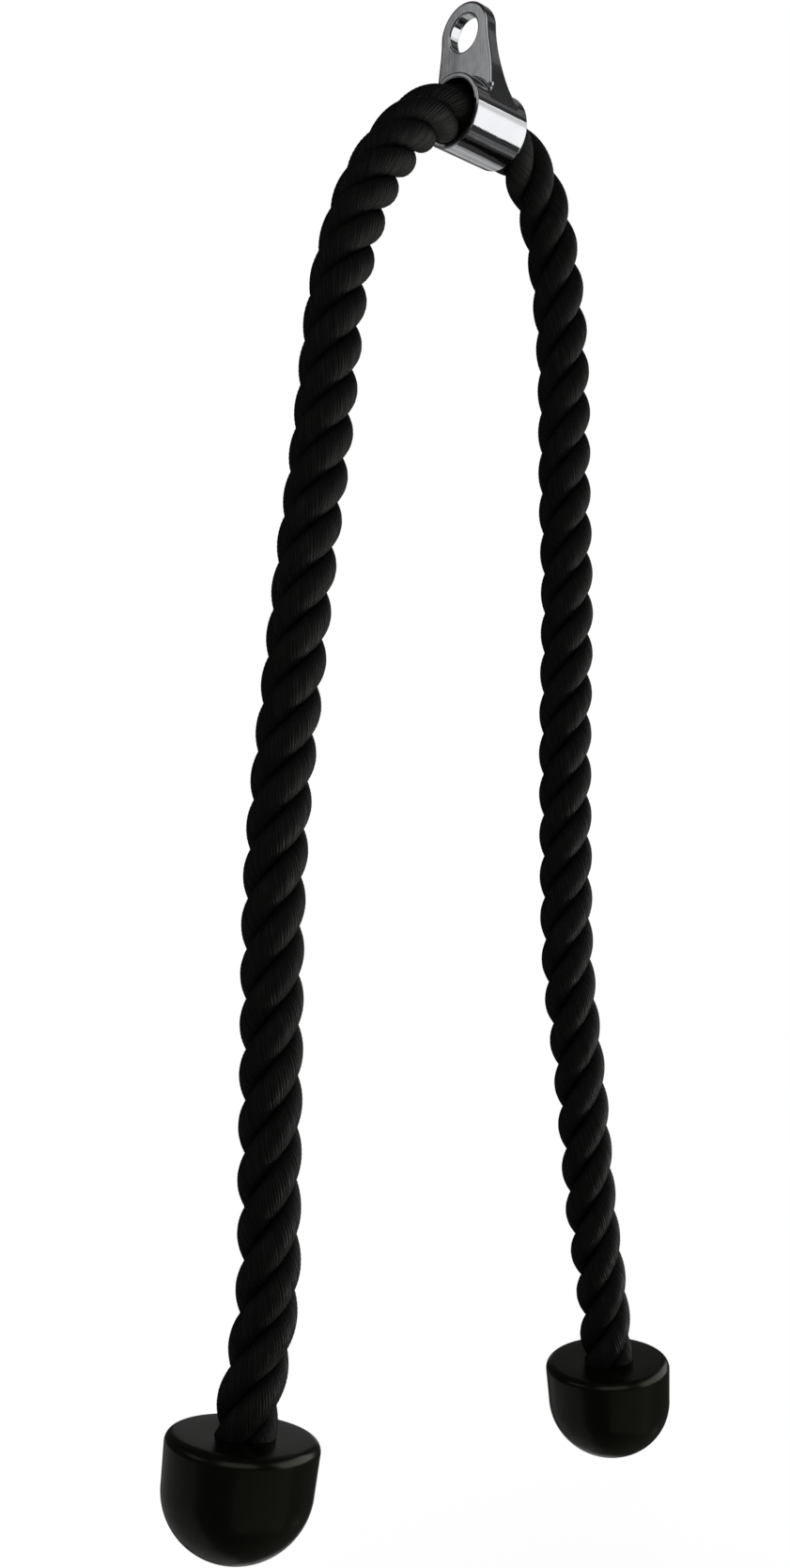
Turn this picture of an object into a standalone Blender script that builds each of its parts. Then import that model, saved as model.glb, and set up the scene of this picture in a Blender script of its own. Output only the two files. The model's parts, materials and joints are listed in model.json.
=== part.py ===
"""Triceps rope attachment.

A chromed steel bracket holds a tube below an eye. One rope is drawn through the tube and hangs down as
two legs, and each leg ends in a moulded cap that is held by a crimped sleeve and a washer inside it.

Metres, +Z up. The origin is the centre of the eye's hole, X runs along the tube and the rope lies in
the plane Y = 0.
"""

import math

import bmesh
import bpy
import numpy as np
from mathutils import Vector
from mathutils.geometry import interpolate_bezier

# Fit of one piece in or on another, and how far a cutter runs past what it cuts
CLEARANCE = 0.0003
OVERRUN = 0.002

# Rope
ROPE_DIAMETER = 0.026
ROPE_ROUNDNESS = 4
ROPE_POINT_SPACING = 0.021
ROPE_END_RUN = 0.004

# Lengths along the rope from the middle of the tube to where one stretch ends and the next begins
CENTRE_END = 0.016
MOUTH_BEND_END = 0.046
ARCH_BEND_END = 0.126
FLEX_BEND_LENGTH = 0.046

# Lengths along the rope to the middle of each bend, where the next stretch turns on the last
MOUTH_PIVOT = 0.029
ARCH_PIVOT = 0.084
FLEX_PIVOT = 0.323

# Bracket: the tube that the rope runs through
BORE_SLACK = 0.002
TUBE_WALL = 0.002
TUBE_LENGTH = 0.035
RIM_ROUNDING = 0.0004
MOUTH_ROUNDING = 0.0005
TUBE_SEGMENTS = 64

# Bracket: the tongue that stands on the tube, and its eye. Heights are from the tube's axis, and the
# tube's middle lies a shift to the right of the tongue's
EYE_HEIGHT = 0.0392
TUBE_SHIFT = 0.0048
EYE_HOLE_DIAMETER = 0.017
EYE_RING_WIDTH = 0.0058
TONGUE_THICKNESS = 0.007
TONGUE_EDGE = 0.0008
FLARE_FOOT = 0.016
FLARE_INSET = 0.0003
FLARE_START_PULL = 0.008
FLARE_FOOT_PULL = 0.009
TONGUE_FOOT = 0.001
FOOT_ROUNDING = 0.0015
LEFT_SADDLE_LAND = 0.0062
RIGHT_SADDLE_LAND = 0.0030
SADDLE_TOE = 0.0001

# End cap
CAP_RADIUS = 0.0309
CAP_WAIST_RADIUS = 0.0302
CAP_SIDE_HEIGHT = 0.0187
CAP_DOME_HEIGHT = 0.0276
CAP_EDGE_ROUNDING = 0.0044
CAP_TOP_WALL = 0.007
CAP_NECK_ROUNDING = 0.0012
POCKET_ROUNDING = 0.004
CAP_SEGMENTS = 40

# Fastening inside the cap
WASHER_RIM = 0.0075
WASHER_THICKNESS = 0.0025
WASHER_CHAMFER = 0.0004
SLEEVE_WALL = 0.0022
SLEEVE_LENGTH = 0.022
CRIMP_DEPTH = 0.0007
CRIMP_WIDTH = 0.003
CRIMP_COUNT = 3
TAPE_THICKNESS = 0.0008
TAPE_WIDTH = 0.006
ROPE_END_BEYOND_TAPE = 0.0006
FASTENER_SEGMENTS = 32

# Lean of each cap from upright, in degrees about +Y
LEFT_CAP_LEAN = 8.56
RIGHT_CAP_LEAN = -4.18

# Route of the rope's centre line as (x, z) from the middle of the tube, from the top of the left cap,
# through the tube, to the top of the right cap
ROUTE = [
    (-0.1386, -0.5665),
    (-0.1318, -0.5400),
    (-0.1270, -0.5180),
    (-0.1255, -0.4800),
    (-0.1246, -0.4200),
    (-0.1233, -0.3560),
    (-0.1195, -0.3120),
    (-0.1135, -0.2690),
    (-0.1062, -0.2180),
    (-0.0976, -0.1670),
    (-0.0927, -0.1310),
    (-0.0883, -0.1020),
    (-0.0795, -0.0720),
    (-0.0727, -0.0560),
    (-0.0630, -0.0395),
    (-0.0511, -0.0243),
    (-0.0416, -0.0143),
    (-0.0302, -0.0064),
    (-0.0175, -0.0011),
    (-0.0090, 0.0007),
    (0.0000, 0.0014),
    (0.0090, 0.0008),
    (0.0175, -0.0010),
    (0.0289, -0.0053),
    (0.0403, -0.0132),
    (0.0492, -0.0253),
    (0.0546, -0.0385),
    (0.0588, -0.0530),
    (0.0638, -0.0830),
    (0.0660, -0.1180),
    (0.0664, -0.1600),
    (0.0681, -0.2150),
    (0.0668, -0.2700),
    (0.0668, -0.3550),
    (0.0690, -0.4020),
    (0.0752, -0.4380),
    (0.0823, -0.4870),
    (0.0895, -0.5340),
    (0.0966, -0.5690),
    (0.0995, -0.5974),
]

# Worked out from the values above
ROPE_RADIUS = ROPE_DIAMETER / 2
UPPER_LEG_END = FLEX_PIVOT - FLEX_BEND_LENGTH / 2
FLEX_BEND_END = FLEX_PIVOT + FLEX_BEND_LENGTH / 2
BORE_RADIUS = ROPE_RADIUS + BORE_SLACK
TUBE_RADIUS = BORE_RADIUS + TUBE_WALL
EYE_HOLE_RADIUS = EYE_HOLE_DIAMETER / 2
EYE_RADIUS = EYE_HOLE_RADIUS + EYE_RING_WIDTH
FLANK = TUBE_RADIUS - FLARE_INSET
LEFT_SADDLE_RADIUS = TUBE_LENGTH / 2 - TUBE_SHIFT - TONGUE_THICKNESS / 2 - LEFT_SADDLE_LAND
RIGHT_SADDLE_RADIUS = TUBE_LENGTH / 2 + TUBE_SHIFT - TONGUE_THICKNESS / 2 - RIGHT_SADDLE_LAND
NECK_RADIUS = ROPE_RADIUS + CLEARANCE
WASHER_RADIUS = ROPE_RADIUS + WASHER_RIM
SLEEVE_RADIUS = ROPE_RADIUS + CLEARANCE + SLEEVE_WALL
WASHER_TOP = -CAP_TOP_WALL - CLEARANCE
SLEEVE_TOP = WASHER_TOP - WASHER_THICKNESS - CLEARANCE
TAPE_TOP = SLEEVE_TOP - SLEEVE_LENGTH - CLEARANCE
ROPE_END = TAPE_TOP - TAPE_WIDTH - ROPE_END_BEYOND_TAPE
POCKET_FLOOR = ROPE_END - CLEARANCE


def clear_scene():
    """Removes every object that is already in the scene."""
    for obj in list(bpy.data.objects):
        bpy.data.objects.remove(obj, do_unlink=True)


def principled(name, colour, roughness, metallic=0.0):
    """A material of one Principled BSDF."""
    made = bpy.data.materials.new(name)
    made.use_nodes = True
    shader = made.node_tree.nodes["Principled BSDF"]
    shader.inputs["Base Color"].default_value = (*colour, 1.0)
    shader.inputs["Roughness"].default_value = roughness
    shader.inputs["Metallic"].default_value = metallic
    return made


def arc(centre, radius, start, end, steps):
    """Points of an arc about centre, from one angle to another in degrees, both ends included."""
    angles = [math.radians(start + (end - start) * step / steps) for step in range(steps + 1)]
    return [(centre[0] + radius * math.cos(a), centre[1] + radius * math.sin(a)) for a in angles]


def place(name, data, finish, parent=None, location=(0, 0, 0)):
    """Links an object of this mesh or curve to the scene, with its finish and its parent."""
    obj = bpy.data.objects.new(name, data)
    data.materials.append(finish)
    obj.location = location
    obj.parent = parent
    bpy.context.collection.objects.link(obj)
    return obj


def empty(name, location, parent=None, lean=0.0):
    """An empty on a joint's axis, or one that carries an end's pieces, leaning about Y."""
    obj = bpy.data.objects.new(name, None)
    obj.location = location
    obj.rotation_euler = (0, math.radians(lean), 0)
    obj.parent = parent
    bpy.context.collection.objects.link(obj)
    return obj


def finish_mesh(name, work):
    """Turns a bmesh into a mesh with its faces outward and its round sides smooth."""
    bmesh.ops.recalc_face_normals(work, faces=work.faces)
    mesh = bpy.data.meshes.new(name)
    work.to_mesh(mesh)
    work.free()
    mesh.shade_smooth()
    mesh.set_sharp_from_angle(angle=math.radians(35))
    return mesh


def bridge(work, one, other):
    """Quads, or triangles to a pole, between two rings of vertices."""
    count = max(len(one), len(other))
    for i in range(count):
        j = (i + 1) % count
        ring = [one[i % len(one)], one[j % len(one)], other[j % len(other)], other[i % len(other)]]
        work.faces.new(list(dict.fromkeys(ring)))


def turned(name, profile, segments, along="Z"):
    """A mesh turned about Z or X from a profile of (radius, height) points.

    A profile that starts and ends on the axis closes at its two poles, and any other is a closed
    outline of a ring.
    """
    work = bmesh.new()
    rings = []
    for radius, height in profile:
        count = segments if radius > 0 else 1
        angles = [2 * math.pi * i / count for i in range(count)]
        points = [(radius * math.cos(a), radius * math.sin(a), height) for a in angles]
        if along == "X":
            points = [(z, x, y) for x, y, z in points]
        rings.append([work.verts.new(point) for point in points])
    for one, other in zip(rings, rings[1:]):
        bridge(work, one, other)
    if len(rings[0]) > 1:
        bridge(work, rings[-1], rings[0])
    return finish_mesh(name, work)


def tongue_half_thickness(y, z, saddle_radius):
    """Half the tongue's thickness: flat at the eye, and swept out in a saddle down to the tube."""
    reach = max(math.hypot(y, z), TUBE_RADIUS + SADDLE_TOE)
    rise = TUBE_RADIUS + saddle_radius - reach
    if rise <= 0:
        return TONGUE_THICKNESS / 2
    return TONGUE_THICKNESS / 2 + saddle_radius - math.sqrt(saddle_radius**2 - rise**2)


def tongue_outline():
    """The tongue's outline as (y, z) seen along the tube, right round from the top of the eye."""
    side = arc((0, EYE_HEIGHT), EYE_RADIUS, 90, 0, 10)
    start, foot = Vector(side[-1]), Vector((FLANK, FLARE_FOOT))
    start_pull, foot_pull = Vector((0, FLARE_START_PULL)), Vector((0, FLARE_FOOT_PULL))
    flare_points = 10
    flare = interpolate_bezier(start, start - start_pull, foot + foot_pull, foot, flare_points)
    side += [tuple(point) for point in flare[1:]]
    corner = (FLANK - FOOT_ROUNDING, TONGUE_FOOT + FOOT_ROUNDING)
    wall_steps = 6
    side += [(FLANK, FLARE_FOOT + (corner[1] - FLARE_FOOT) * i / wall_steps) for i in range(1, wall_steps)]
    side += arc(corner, FOOT_ROUNDING, 0, -90, 3)
    foot_steps = 6
    side += [(corner[0] * (1 - step / foot_steps), TONGUE_FOOT) for step in range(1, foot_steps + 1)]
    return side + [(-y, z) for y, z in side[-2:0:-1]]


def inset(outline, distance):
    """The outline moved inward by a distance, along each point's own normal."""
    moved = []
    for i, (y, z) in enumerate(outline):
        ahead = Vector(outline[(i + 1) % len(outline)])
        behind = Vector(outline[i - 1])
        run = (ahead - behind).normalized()
        moved.append((y + run.y * distance, z - run.x * distance))
    return moved


def tongue_mesh():
    """The tongue with its eye, as loops that run inward from the outline to the hole on both faces."""
    outline = tongue_outline()
    round_steps = 2
    fill_steps = 11
    angles = [math.pi / 2 * step / round_steps for step in range(round_steps + 1)]
    loops = [(inset(outline, TONGUE_EDGE * (1 - math.cos(a))), TONGUE_EDGE * (1 - math.sin(a))) for a in angles]
    face_edge = loops[-1][0]

    def hole_loop(radius):
        centre = Vector((0, EYE_HEIGHT))
        spokes = [(Vector(point) - centre).normalized() for point in face_edge]
        return [tuple(centre + spoke * radius) for spoke in spokes]

    brim = hole_loop(EYE_HOLE_RADIUS + TONGUE_EDGE)
    for step in range(1, fill_steps):
        share = step / fill_steps
        blend = [tuple(Vector(a).lerp(Vector(b), share)) for a, b in zip(face_edge, brim)]
        loops.append((blend, 0))
    for a in reversed(angles):
        radius = EYE_HOLE_RADIUS + TONGUE_EDGE * (1 - math.cos(a))
        loops.append((hole_loop(radius), TONGUE_EDGE * (1 - math.sin(a))))

    work = bmesh.new()
    faces = []
    for face, saddle_radius in ((1, RIGHT_SADDLE_RADIUS), (-1, LEFT_SADDLE_RADIUS)):
        faces.append([])
        for loop, drop in loops:
            out = [tongue_half_thickness(y, z, saddle_radius) - drop for y, z in loop]
            ring = [(face * x, y, z) for x, (y, z) in zip(out, loop)]
            faces[-1].append([work.verts.new(point) for point in ring])
        for one, other in zip(faces[-1], faces[-1][1:]):
            bridge(work, one, other)
    bridge(work, faces[0][0], faces[1][0])
    bridge(work, faces[0][-1], faces[1][-1])
    return finish_mesh("tongue", work)


def tube_blank_mesh():
    """The tube as a solid bar with rounded rims, before its bore."""
    end = TUBE_LENGTH / 2
    corner = (TUBE_RADIUS - RIM_ROUNDING, end - RIM_ROUNDING)
    half = [(0, end)] + arc(corner, RIM_ROUNDING, 90, 0, 3)
    return turned("tube", half + [(r, -x) for r, x in reversed(half)], TUBE_SEGMENTS, "X")


def bore_mesh():
    """The cutter of the bore, which flares round the edge of each mouth."""
    end = TUBE_LENGTH / 2
    corner = (BORE_RADIUS + MOUTH_ROUNDING, end - MOUTH_ROUNDING)
    flare = arc(corner, MOUTH_ROUNDING, 90, 180, 3)
    half = [(0, end + OVERRUN), (corner[0], end + OVERRUN)] + flare
    return turned("bore", half + [(r, -x) for r, x in reversed(half)], TUBE_SEGMENTS, "X")


def cut_by(target, name, mesh, operation, shift=0.0):
    """Adds a Boolean to the target with a helper that isn't part of the object, shifted along X."""
    tool = bpy.data.objects.new(name, mesh)
    tool.parent = target
    tool.location = (shift, 0, 0)
    tool.hide_render = True
    tool.display_type = "WIRE"
    bpy.context.collection.objects.link(tool)
    modifier = target.modifiers.new(name, "BOOLEAN")
    modifier.operation = operation
    modifier.solver = "EXACT"
    modifier.object = tool


def eye_bracket(steel):
    """The tube with the tongue grown onto it, bored through."""
    bracket = place("eye_bracket", tube_blank_mesh(), steel, location=(TUBE_SHIFT, 0, -EYE_HEIGHT))
    cut_by(bracket, "tongue_blank", tongue_mesh(), "UNION", -TUBE_SHIFT)
    cut_by(bracket, "bore_cutter", bore_mesh(), "DIFFERENCE")


def lean_axis(lean):
    """The upward axis of a piece that leans about Y by an angle in degrees."""
    return Vector((math.sin(math.radians(lean)), 0, math.cos(math.radians(lean))))


class RopeLine:
    """The smooth line through the route's points, measured along from the middle of the tube."""

    def __init__(self):
        points = np.array([(x + TUBE_SHIFT, 0, z - EYE_HEIGHT) for x, z in ROUTE])
        self.knots = np.r_[0, np.cumsum(np.linalg.norm(np.diff(points, axis=0), axis=1))]
        self.points = points
        self.slopes = self.natural_slopes(lean_axis(LEFT_CAP_LEAN), -lean_axis(RIGHT_CAP_LEAN))
        fine_steps = 4000
        places = np.linspace(0, self.knots[-1], fine_steps)
        self.fine = np.array([self.at_knot(u) for u in places])
        along = np.r_[0, np.cumsum(np.linalg.norm(np.diff(self.fine, axis=0), axis=1))]
        self.along = along - along[np.abs(self.fine[:, 0] - TUBE_SHIFT).argmin()]

    def natural_slopes(self, first, last):
        """Slopes that keep the bend steady from one span to the next, with the two ends' given."""
        count = len(self.points)
        spans = np.diff(self.knots)
        matrix = np.eye(count)
        right = np.zeros((count, 3))
        right[0] = first
        right[-1] = last
        for i in range(1, count - 1):
            before, after = spans[i - 1], spans[i]
            matrix[i, i - 1 : i + 2] = 1 / before, 2 / before + 2 / after, 1 / after
            rise = (self.points[i] - self.points[i - 1]) / before**2
            right[i] = 3 * (rise + (self.points[i + 1] - self.points[i]) / after**2)
        return np.linalg.solve(matrix, right)

    def at_knot(self, u):
        """The point of the line at a knot value."""
        i = int(np.clip(np.searchsorted(self.knots, u) - 1, 0, len(self.points) - 2))
        span = self.knots[i + 1] - self.knots[i]
        t = (u - self.knots[i]) / span
        start, end = self.points[i], self.points[i + 1]
        pull_in, pull_out = self.slopes[i] * span, self.slopes[i + 1] * span
        weights = 2 * t**3 - 3 * t**2 + 1, t**3 - 2 * t**2 + t, 3 * t**2 - 2 * t**3, t**3 - t**2
        return weights[0] * start + weights[1] * pull_in + weights[2] * end + weights[3] * pull_out

    def point(self, length):
        """The point at a length along the rope, which runs on straight inside the caps."""
        held = min(max(length, self.along[0]), self.along[-1])
        place_at = [np.interp(held, self.along, self.fine[:, axis]) for axis in range(3)]
        return Vector(place_at) + self.ahead(held) * (length - held)

    def ahead(self, length):
        """The direction of the rope at a length along it, from left to right."""
        if length <= self.along[0]:
            return lean_axis(LEFT_CAP_LEAN)
        if length >= self.along[-1]:
            return -lean_axis(RIGHT_CAP_LEAN)
        i = int(np.searchsorted(self.along, length))
        low, high = max(i - 2, 0), min(i + 1, len(self.fine) - 1)
        return Vector(self.fine[high] - self.fine[low]).normalized()


def rope_stretch(name, line, start, end, fibre, parent=None):
    """One stretch of the rope, cut square at both ends and a clearance short of its neighbours."""
    low, high = sorted((start, end))
    low += CLEARANCE / 2
    high -= CLEARANCE / 2
    inner_low, inner_high = low + ROPE_END_RUN, high - ROPE_END_RUN
    steps = max(1, round((inner_high - inner_low) / ROPE_POINT_SPACING))
    points = [line.point(low), line.point(low) + line.ahead(low) * ROPE_END_RUN]
    points += [line.point(inner_low + (inner_high - inner_low) * i / steps) for i in range(1, steps)]
    points += [line.point(high) - line.ahead(high) * ROPE_END_RUN, line.point(high)]

    origin = parent.matrix_world.translation if parent else Vector()
    curve = bpy.data.curves.new(name, "CURVE")
    curve.dimensions = "3D"
    curve.bevel_depth = ROPE_RADIUS
    curve.bevel_resolution = ROPE_ROUNDNESS
    curve.use_fill_caps = True
    spline = curve.splines.new("POLY")
    spline.points.add(len(points[1:]))
    for spot, point in zip(spline.points, points):
        spot.co = (*(point - origin), 1)
    return place(name, curve, fibre, parent)


def cap_profile():
    """The cap's outline from the bottom of its dome up to the neck and down into the pocket."""
    height = -CAP_SIDE_HEIGHT
    dome = [
        (CAP_WAIST_RADIUS * math.sin(a), height - CAP_DOME_HEIGHT * math.cos(a))
        for a in [math.radians(90 * step / 8) for step in range(9)]
    ]
    dome[0] = (0, dome[0][1])
    edge = arc((CAP_RADIUS - CAP_EDGE_ROUNDING, -CAP_EDGE_ROUNDING), CAP_EDGE_ROUNDING, 0, 90, 5)
    neck_centre = (NECK_RADIUS + CAP_NECK_ROUNDING, -CAP_NECK_ROUNDING)
    neck = arc(neck_centre, CAP_NECK_ROUNDING, 90, 180, 3)
    washer_seat = [
        (NECK_RADIUS, -CAP_TOP_WALL),
        (WASHER_RADIUS + CLEARANCE, -CAP_TOP_WALL),
        (WASHER_RADIUS + CLEARANCE, SLEEVE_TOP),
        (SLEEVE_RADIUS + CLEARANCE, SLEEVE_TOP),
    ]
    pocket_edge = (SLEEVE_RADIUS + CLEARANCE - POCKET_ROUNDING, POCKET_FLOOR + POCKET_ROUNDING)
    pocket = [(pocket_edge[0] + POCKET_ROUNDING, TAPE_TOP)] + arc(pocket_edge, POCKET_ROUNDING, 0, -90, 4)
    return dome + edge + neck + washer_seat + pocket + [(0, POCKET_FLOOR)]


def washer_profile():
    """A flat ring whose outer edges are broken by a small chamfer."""
    top, bottom = 0, -WASHER_THICKNESS
    return [
        (NECK_RADIUS, top),
        (WASHER_RADIUS - WASHER_CHAMFER, top),
        (WASHER_RADIUS, top - WASHER_CHAMFER),
        (WASHER_RADIUS, bottom + WASHER_CHAMFER),
        (WASHER_RADIUS - WASHER_CHAMFER, bottom),
        (NECK_RADIUS, bottom),
    ]


def sleeve_profile():
    """A sleeve with rings pressed into it, which grip the rope."""
    outer = [(SLEEVE_RADIUS, 0)]
    pitch = SLEEVE_LENGTH / CRIMP_COUNT
    for crimp in range(CRIMP_COUNT):
        middle = -pitch * (crimp + 1 / 2)
        for share, depth_share in ((1 / 2, 0), (1 / 4, 1), (-1 / 4, 1), (-1 / 2, 0)):
            outer.append((SLEEVE_RADIUS - CRIMP_DEPTH * depth_share, middle + CRIMP_WIDTH * share))
    outer.append((SLEEVE_RADIUS, -SLEEVE_LENGTH))
    return outer + [(NECK_RADIUS, -SLEEVE_LENGTH), (NECK_RADIUS, 0)]


def tape_profile():
    """A band of tape wound on the end of the rope."""
    outside = NECK_RADIUS + TAPE_THICKNESS
    return [(NECK_RADIUS, 0), (outside, 0), (outside, -TAPE_WIDTH), (NECK_RADIUS, -TAPE_WIDTH)]


def leg(side, sign, lean, line, mid, finishes):
    """One leg of the rope with the joints along it and the cap on its end."""
    fibre, moulded, steel, tape = finishes
    mouth_at = line.point(sign * MOUTH_PIVOT)
    arch_at = line.point(sign * ARCH_PIVOT)
    flex_at = line.point(sign * FLEX_PIVOT)
    mouth = empty(f"{side}_mouth_axis", mouth_at - mid.matrix_world.translation, mid)
    arch = empty(f"{side}_arch_axis", arch_at - mouth_at, mouth)
    flex = empty(f"{side}_flex_axis", flex_at - arch_at, arch)
    tail = line.along[-1] if sign > 0 else line.along[0]
    top = line.point(tail)
    carrier = empty(f"{side}_cap_carrier", top - flex_at, flex, lean)
    bpy.context.view_layer.update()

    stretches = (
        ("mouth_bend", CENTRE_END, MOUTH_BEND_END, mouth),
        ("arch_bend", MOUTH_BEND_END, ARCH_BEND_END, arch),
        ("upper_leg", ARCH_BEND_END, UPPER_LEG_END, arch),
        ("flex_bend", UPPER_LEG_END, FLEX_BEND_END, flex),
    )
    for name, start, end, axis in stretches:
        rope_stretch(f"{side}_{name}", line, sign * start, sign * end, fibre, axis)
    rope_stretch(f"{side}_lower_leg", line, sign * FLEX_BEND_END, tail - sign * ROPE_END, fibre, flex)

    cap = turned(f"{side}_end_cap", cap_profile(), CAP_SEGMENTS)
    place(f"{side}_end_cap", cap, moulded, carrier)
    washer = turned(f"{side}_washer", washer_profile(), FASTENER_SEGMENTS)
    place(f"{side}_washer", washer, steel, carrier, (0, 0, WASHER_TOP))
    sleeve = turned(f"{side}_crimp_sleeve", sleeve_profile(), FASTENER_SEGMENTS)
    place(f"{side}_crimp_sleeve", sleeve, steel, carrier, (0, 0, SLEEVE_TOP))
    band = turned(f"{side}_end_tape", tape_profile(), FASTENER_SEGMENTS)
    place(f"{side}_end_tape", band, tape, carrier, (0, 0, TAPE_TOP))


def main():
    """Builds the whole attachment."""
    clear_scene()
    chrome = principled("chrome", (0.78, 0.79, 0.80), 0.12, 1.0)
    fibre = principled("rope_fibre", (0.018, 0.018, 0.020), 0.62)
    moulded = principled("cap_moulding", (0.022, 0.022, 0.024), 0.38)
    steel = principled("zinc_steel", (0.55, 0.56, 0.57), 0.35, 1.0)
    tape = principled("end_tape", (0.05, 0.05, 0.05), 0.55)

    eye_bracket(chrome)
    line = RopeLine()
    mid = empty("rope_turn_axis", (TUBE_SHIFT, 0, -EYE_HEIGHT))
    bpy.context.view_layer.update()
    rope_stretch("rope_centre", line, -CENTRE_END, CENTRE_END, fibre, mid)
    finishes = (fibre, moulded, steel, tape)
    leg("left", -1, LEFT_CAP_LEAN, line, mid, finishes)
    leg("right", 1, RIGHT_CAP_LEAN, line, mid, finishes)


main()
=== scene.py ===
"""Triceps rope attachment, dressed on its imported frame.

A chromed eye bracket carries one black, three-strand rope, whose two legs end in moulded caps. Everything
is in metres, in the frame of the solids: the origin is the centre of the eye's hole, X runs along the tube
and the rope hangs in the plane Y = 0.
"""

from __future__ import annotations

import itertools
import json
import logging
import math
from collections.abc import Callable
from dataclasses import dataclass
from enum import Enum

import bmesh
import bpy
import numpy as np
from mathutils import Matrix, Vector

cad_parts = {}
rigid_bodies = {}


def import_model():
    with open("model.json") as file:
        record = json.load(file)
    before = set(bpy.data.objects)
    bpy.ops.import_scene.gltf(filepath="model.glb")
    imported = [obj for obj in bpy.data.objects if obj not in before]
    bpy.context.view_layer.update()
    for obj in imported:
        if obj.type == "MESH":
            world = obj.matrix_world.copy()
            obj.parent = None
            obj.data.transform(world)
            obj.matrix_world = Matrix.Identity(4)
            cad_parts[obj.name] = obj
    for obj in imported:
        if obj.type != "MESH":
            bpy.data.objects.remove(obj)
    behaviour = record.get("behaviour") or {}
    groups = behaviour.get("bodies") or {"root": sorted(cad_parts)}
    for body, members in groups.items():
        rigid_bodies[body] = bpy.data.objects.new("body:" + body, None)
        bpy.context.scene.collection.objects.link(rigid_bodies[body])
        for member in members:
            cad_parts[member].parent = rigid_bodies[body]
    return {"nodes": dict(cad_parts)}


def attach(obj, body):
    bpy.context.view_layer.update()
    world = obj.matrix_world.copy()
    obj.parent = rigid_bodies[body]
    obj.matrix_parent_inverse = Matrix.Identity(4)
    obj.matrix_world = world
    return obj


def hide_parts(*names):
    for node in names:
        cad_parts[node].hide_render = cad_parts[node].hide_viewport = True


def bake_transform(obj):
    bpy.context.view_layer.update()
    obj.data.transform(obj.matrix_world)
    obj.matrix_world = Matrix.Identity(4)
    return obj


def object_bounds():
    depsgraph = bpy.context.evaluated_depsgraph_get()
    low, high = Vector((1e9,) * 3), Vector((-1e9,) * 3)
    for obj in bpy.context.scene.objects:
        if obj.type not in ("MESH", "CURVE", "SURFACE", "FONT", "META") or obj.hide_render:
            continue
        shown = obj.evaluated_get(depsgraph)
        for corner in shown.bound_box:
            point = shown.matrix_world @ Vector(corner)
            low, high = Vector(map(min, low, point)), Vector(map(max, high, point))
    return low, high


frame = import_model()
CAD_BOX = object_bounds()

LOG = logging.getLogger("rope_attachment")
TURN = 2 * math.pi

Colour = tuple[float, float, float]
Place = tuple[float, float, float]

# What goes into a node's input: another node's output, or a plain value
Feed = object


class Side(Enum):
    """One of the rope's two legs, and the way along the rope that it lies."""

    LEFT = -1
    RIGHT = 1

    @property
    def prefix(self) -> str:
        """The start of the names of this leg's pieces and bodies."""
        return self.name.lower()


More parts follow.
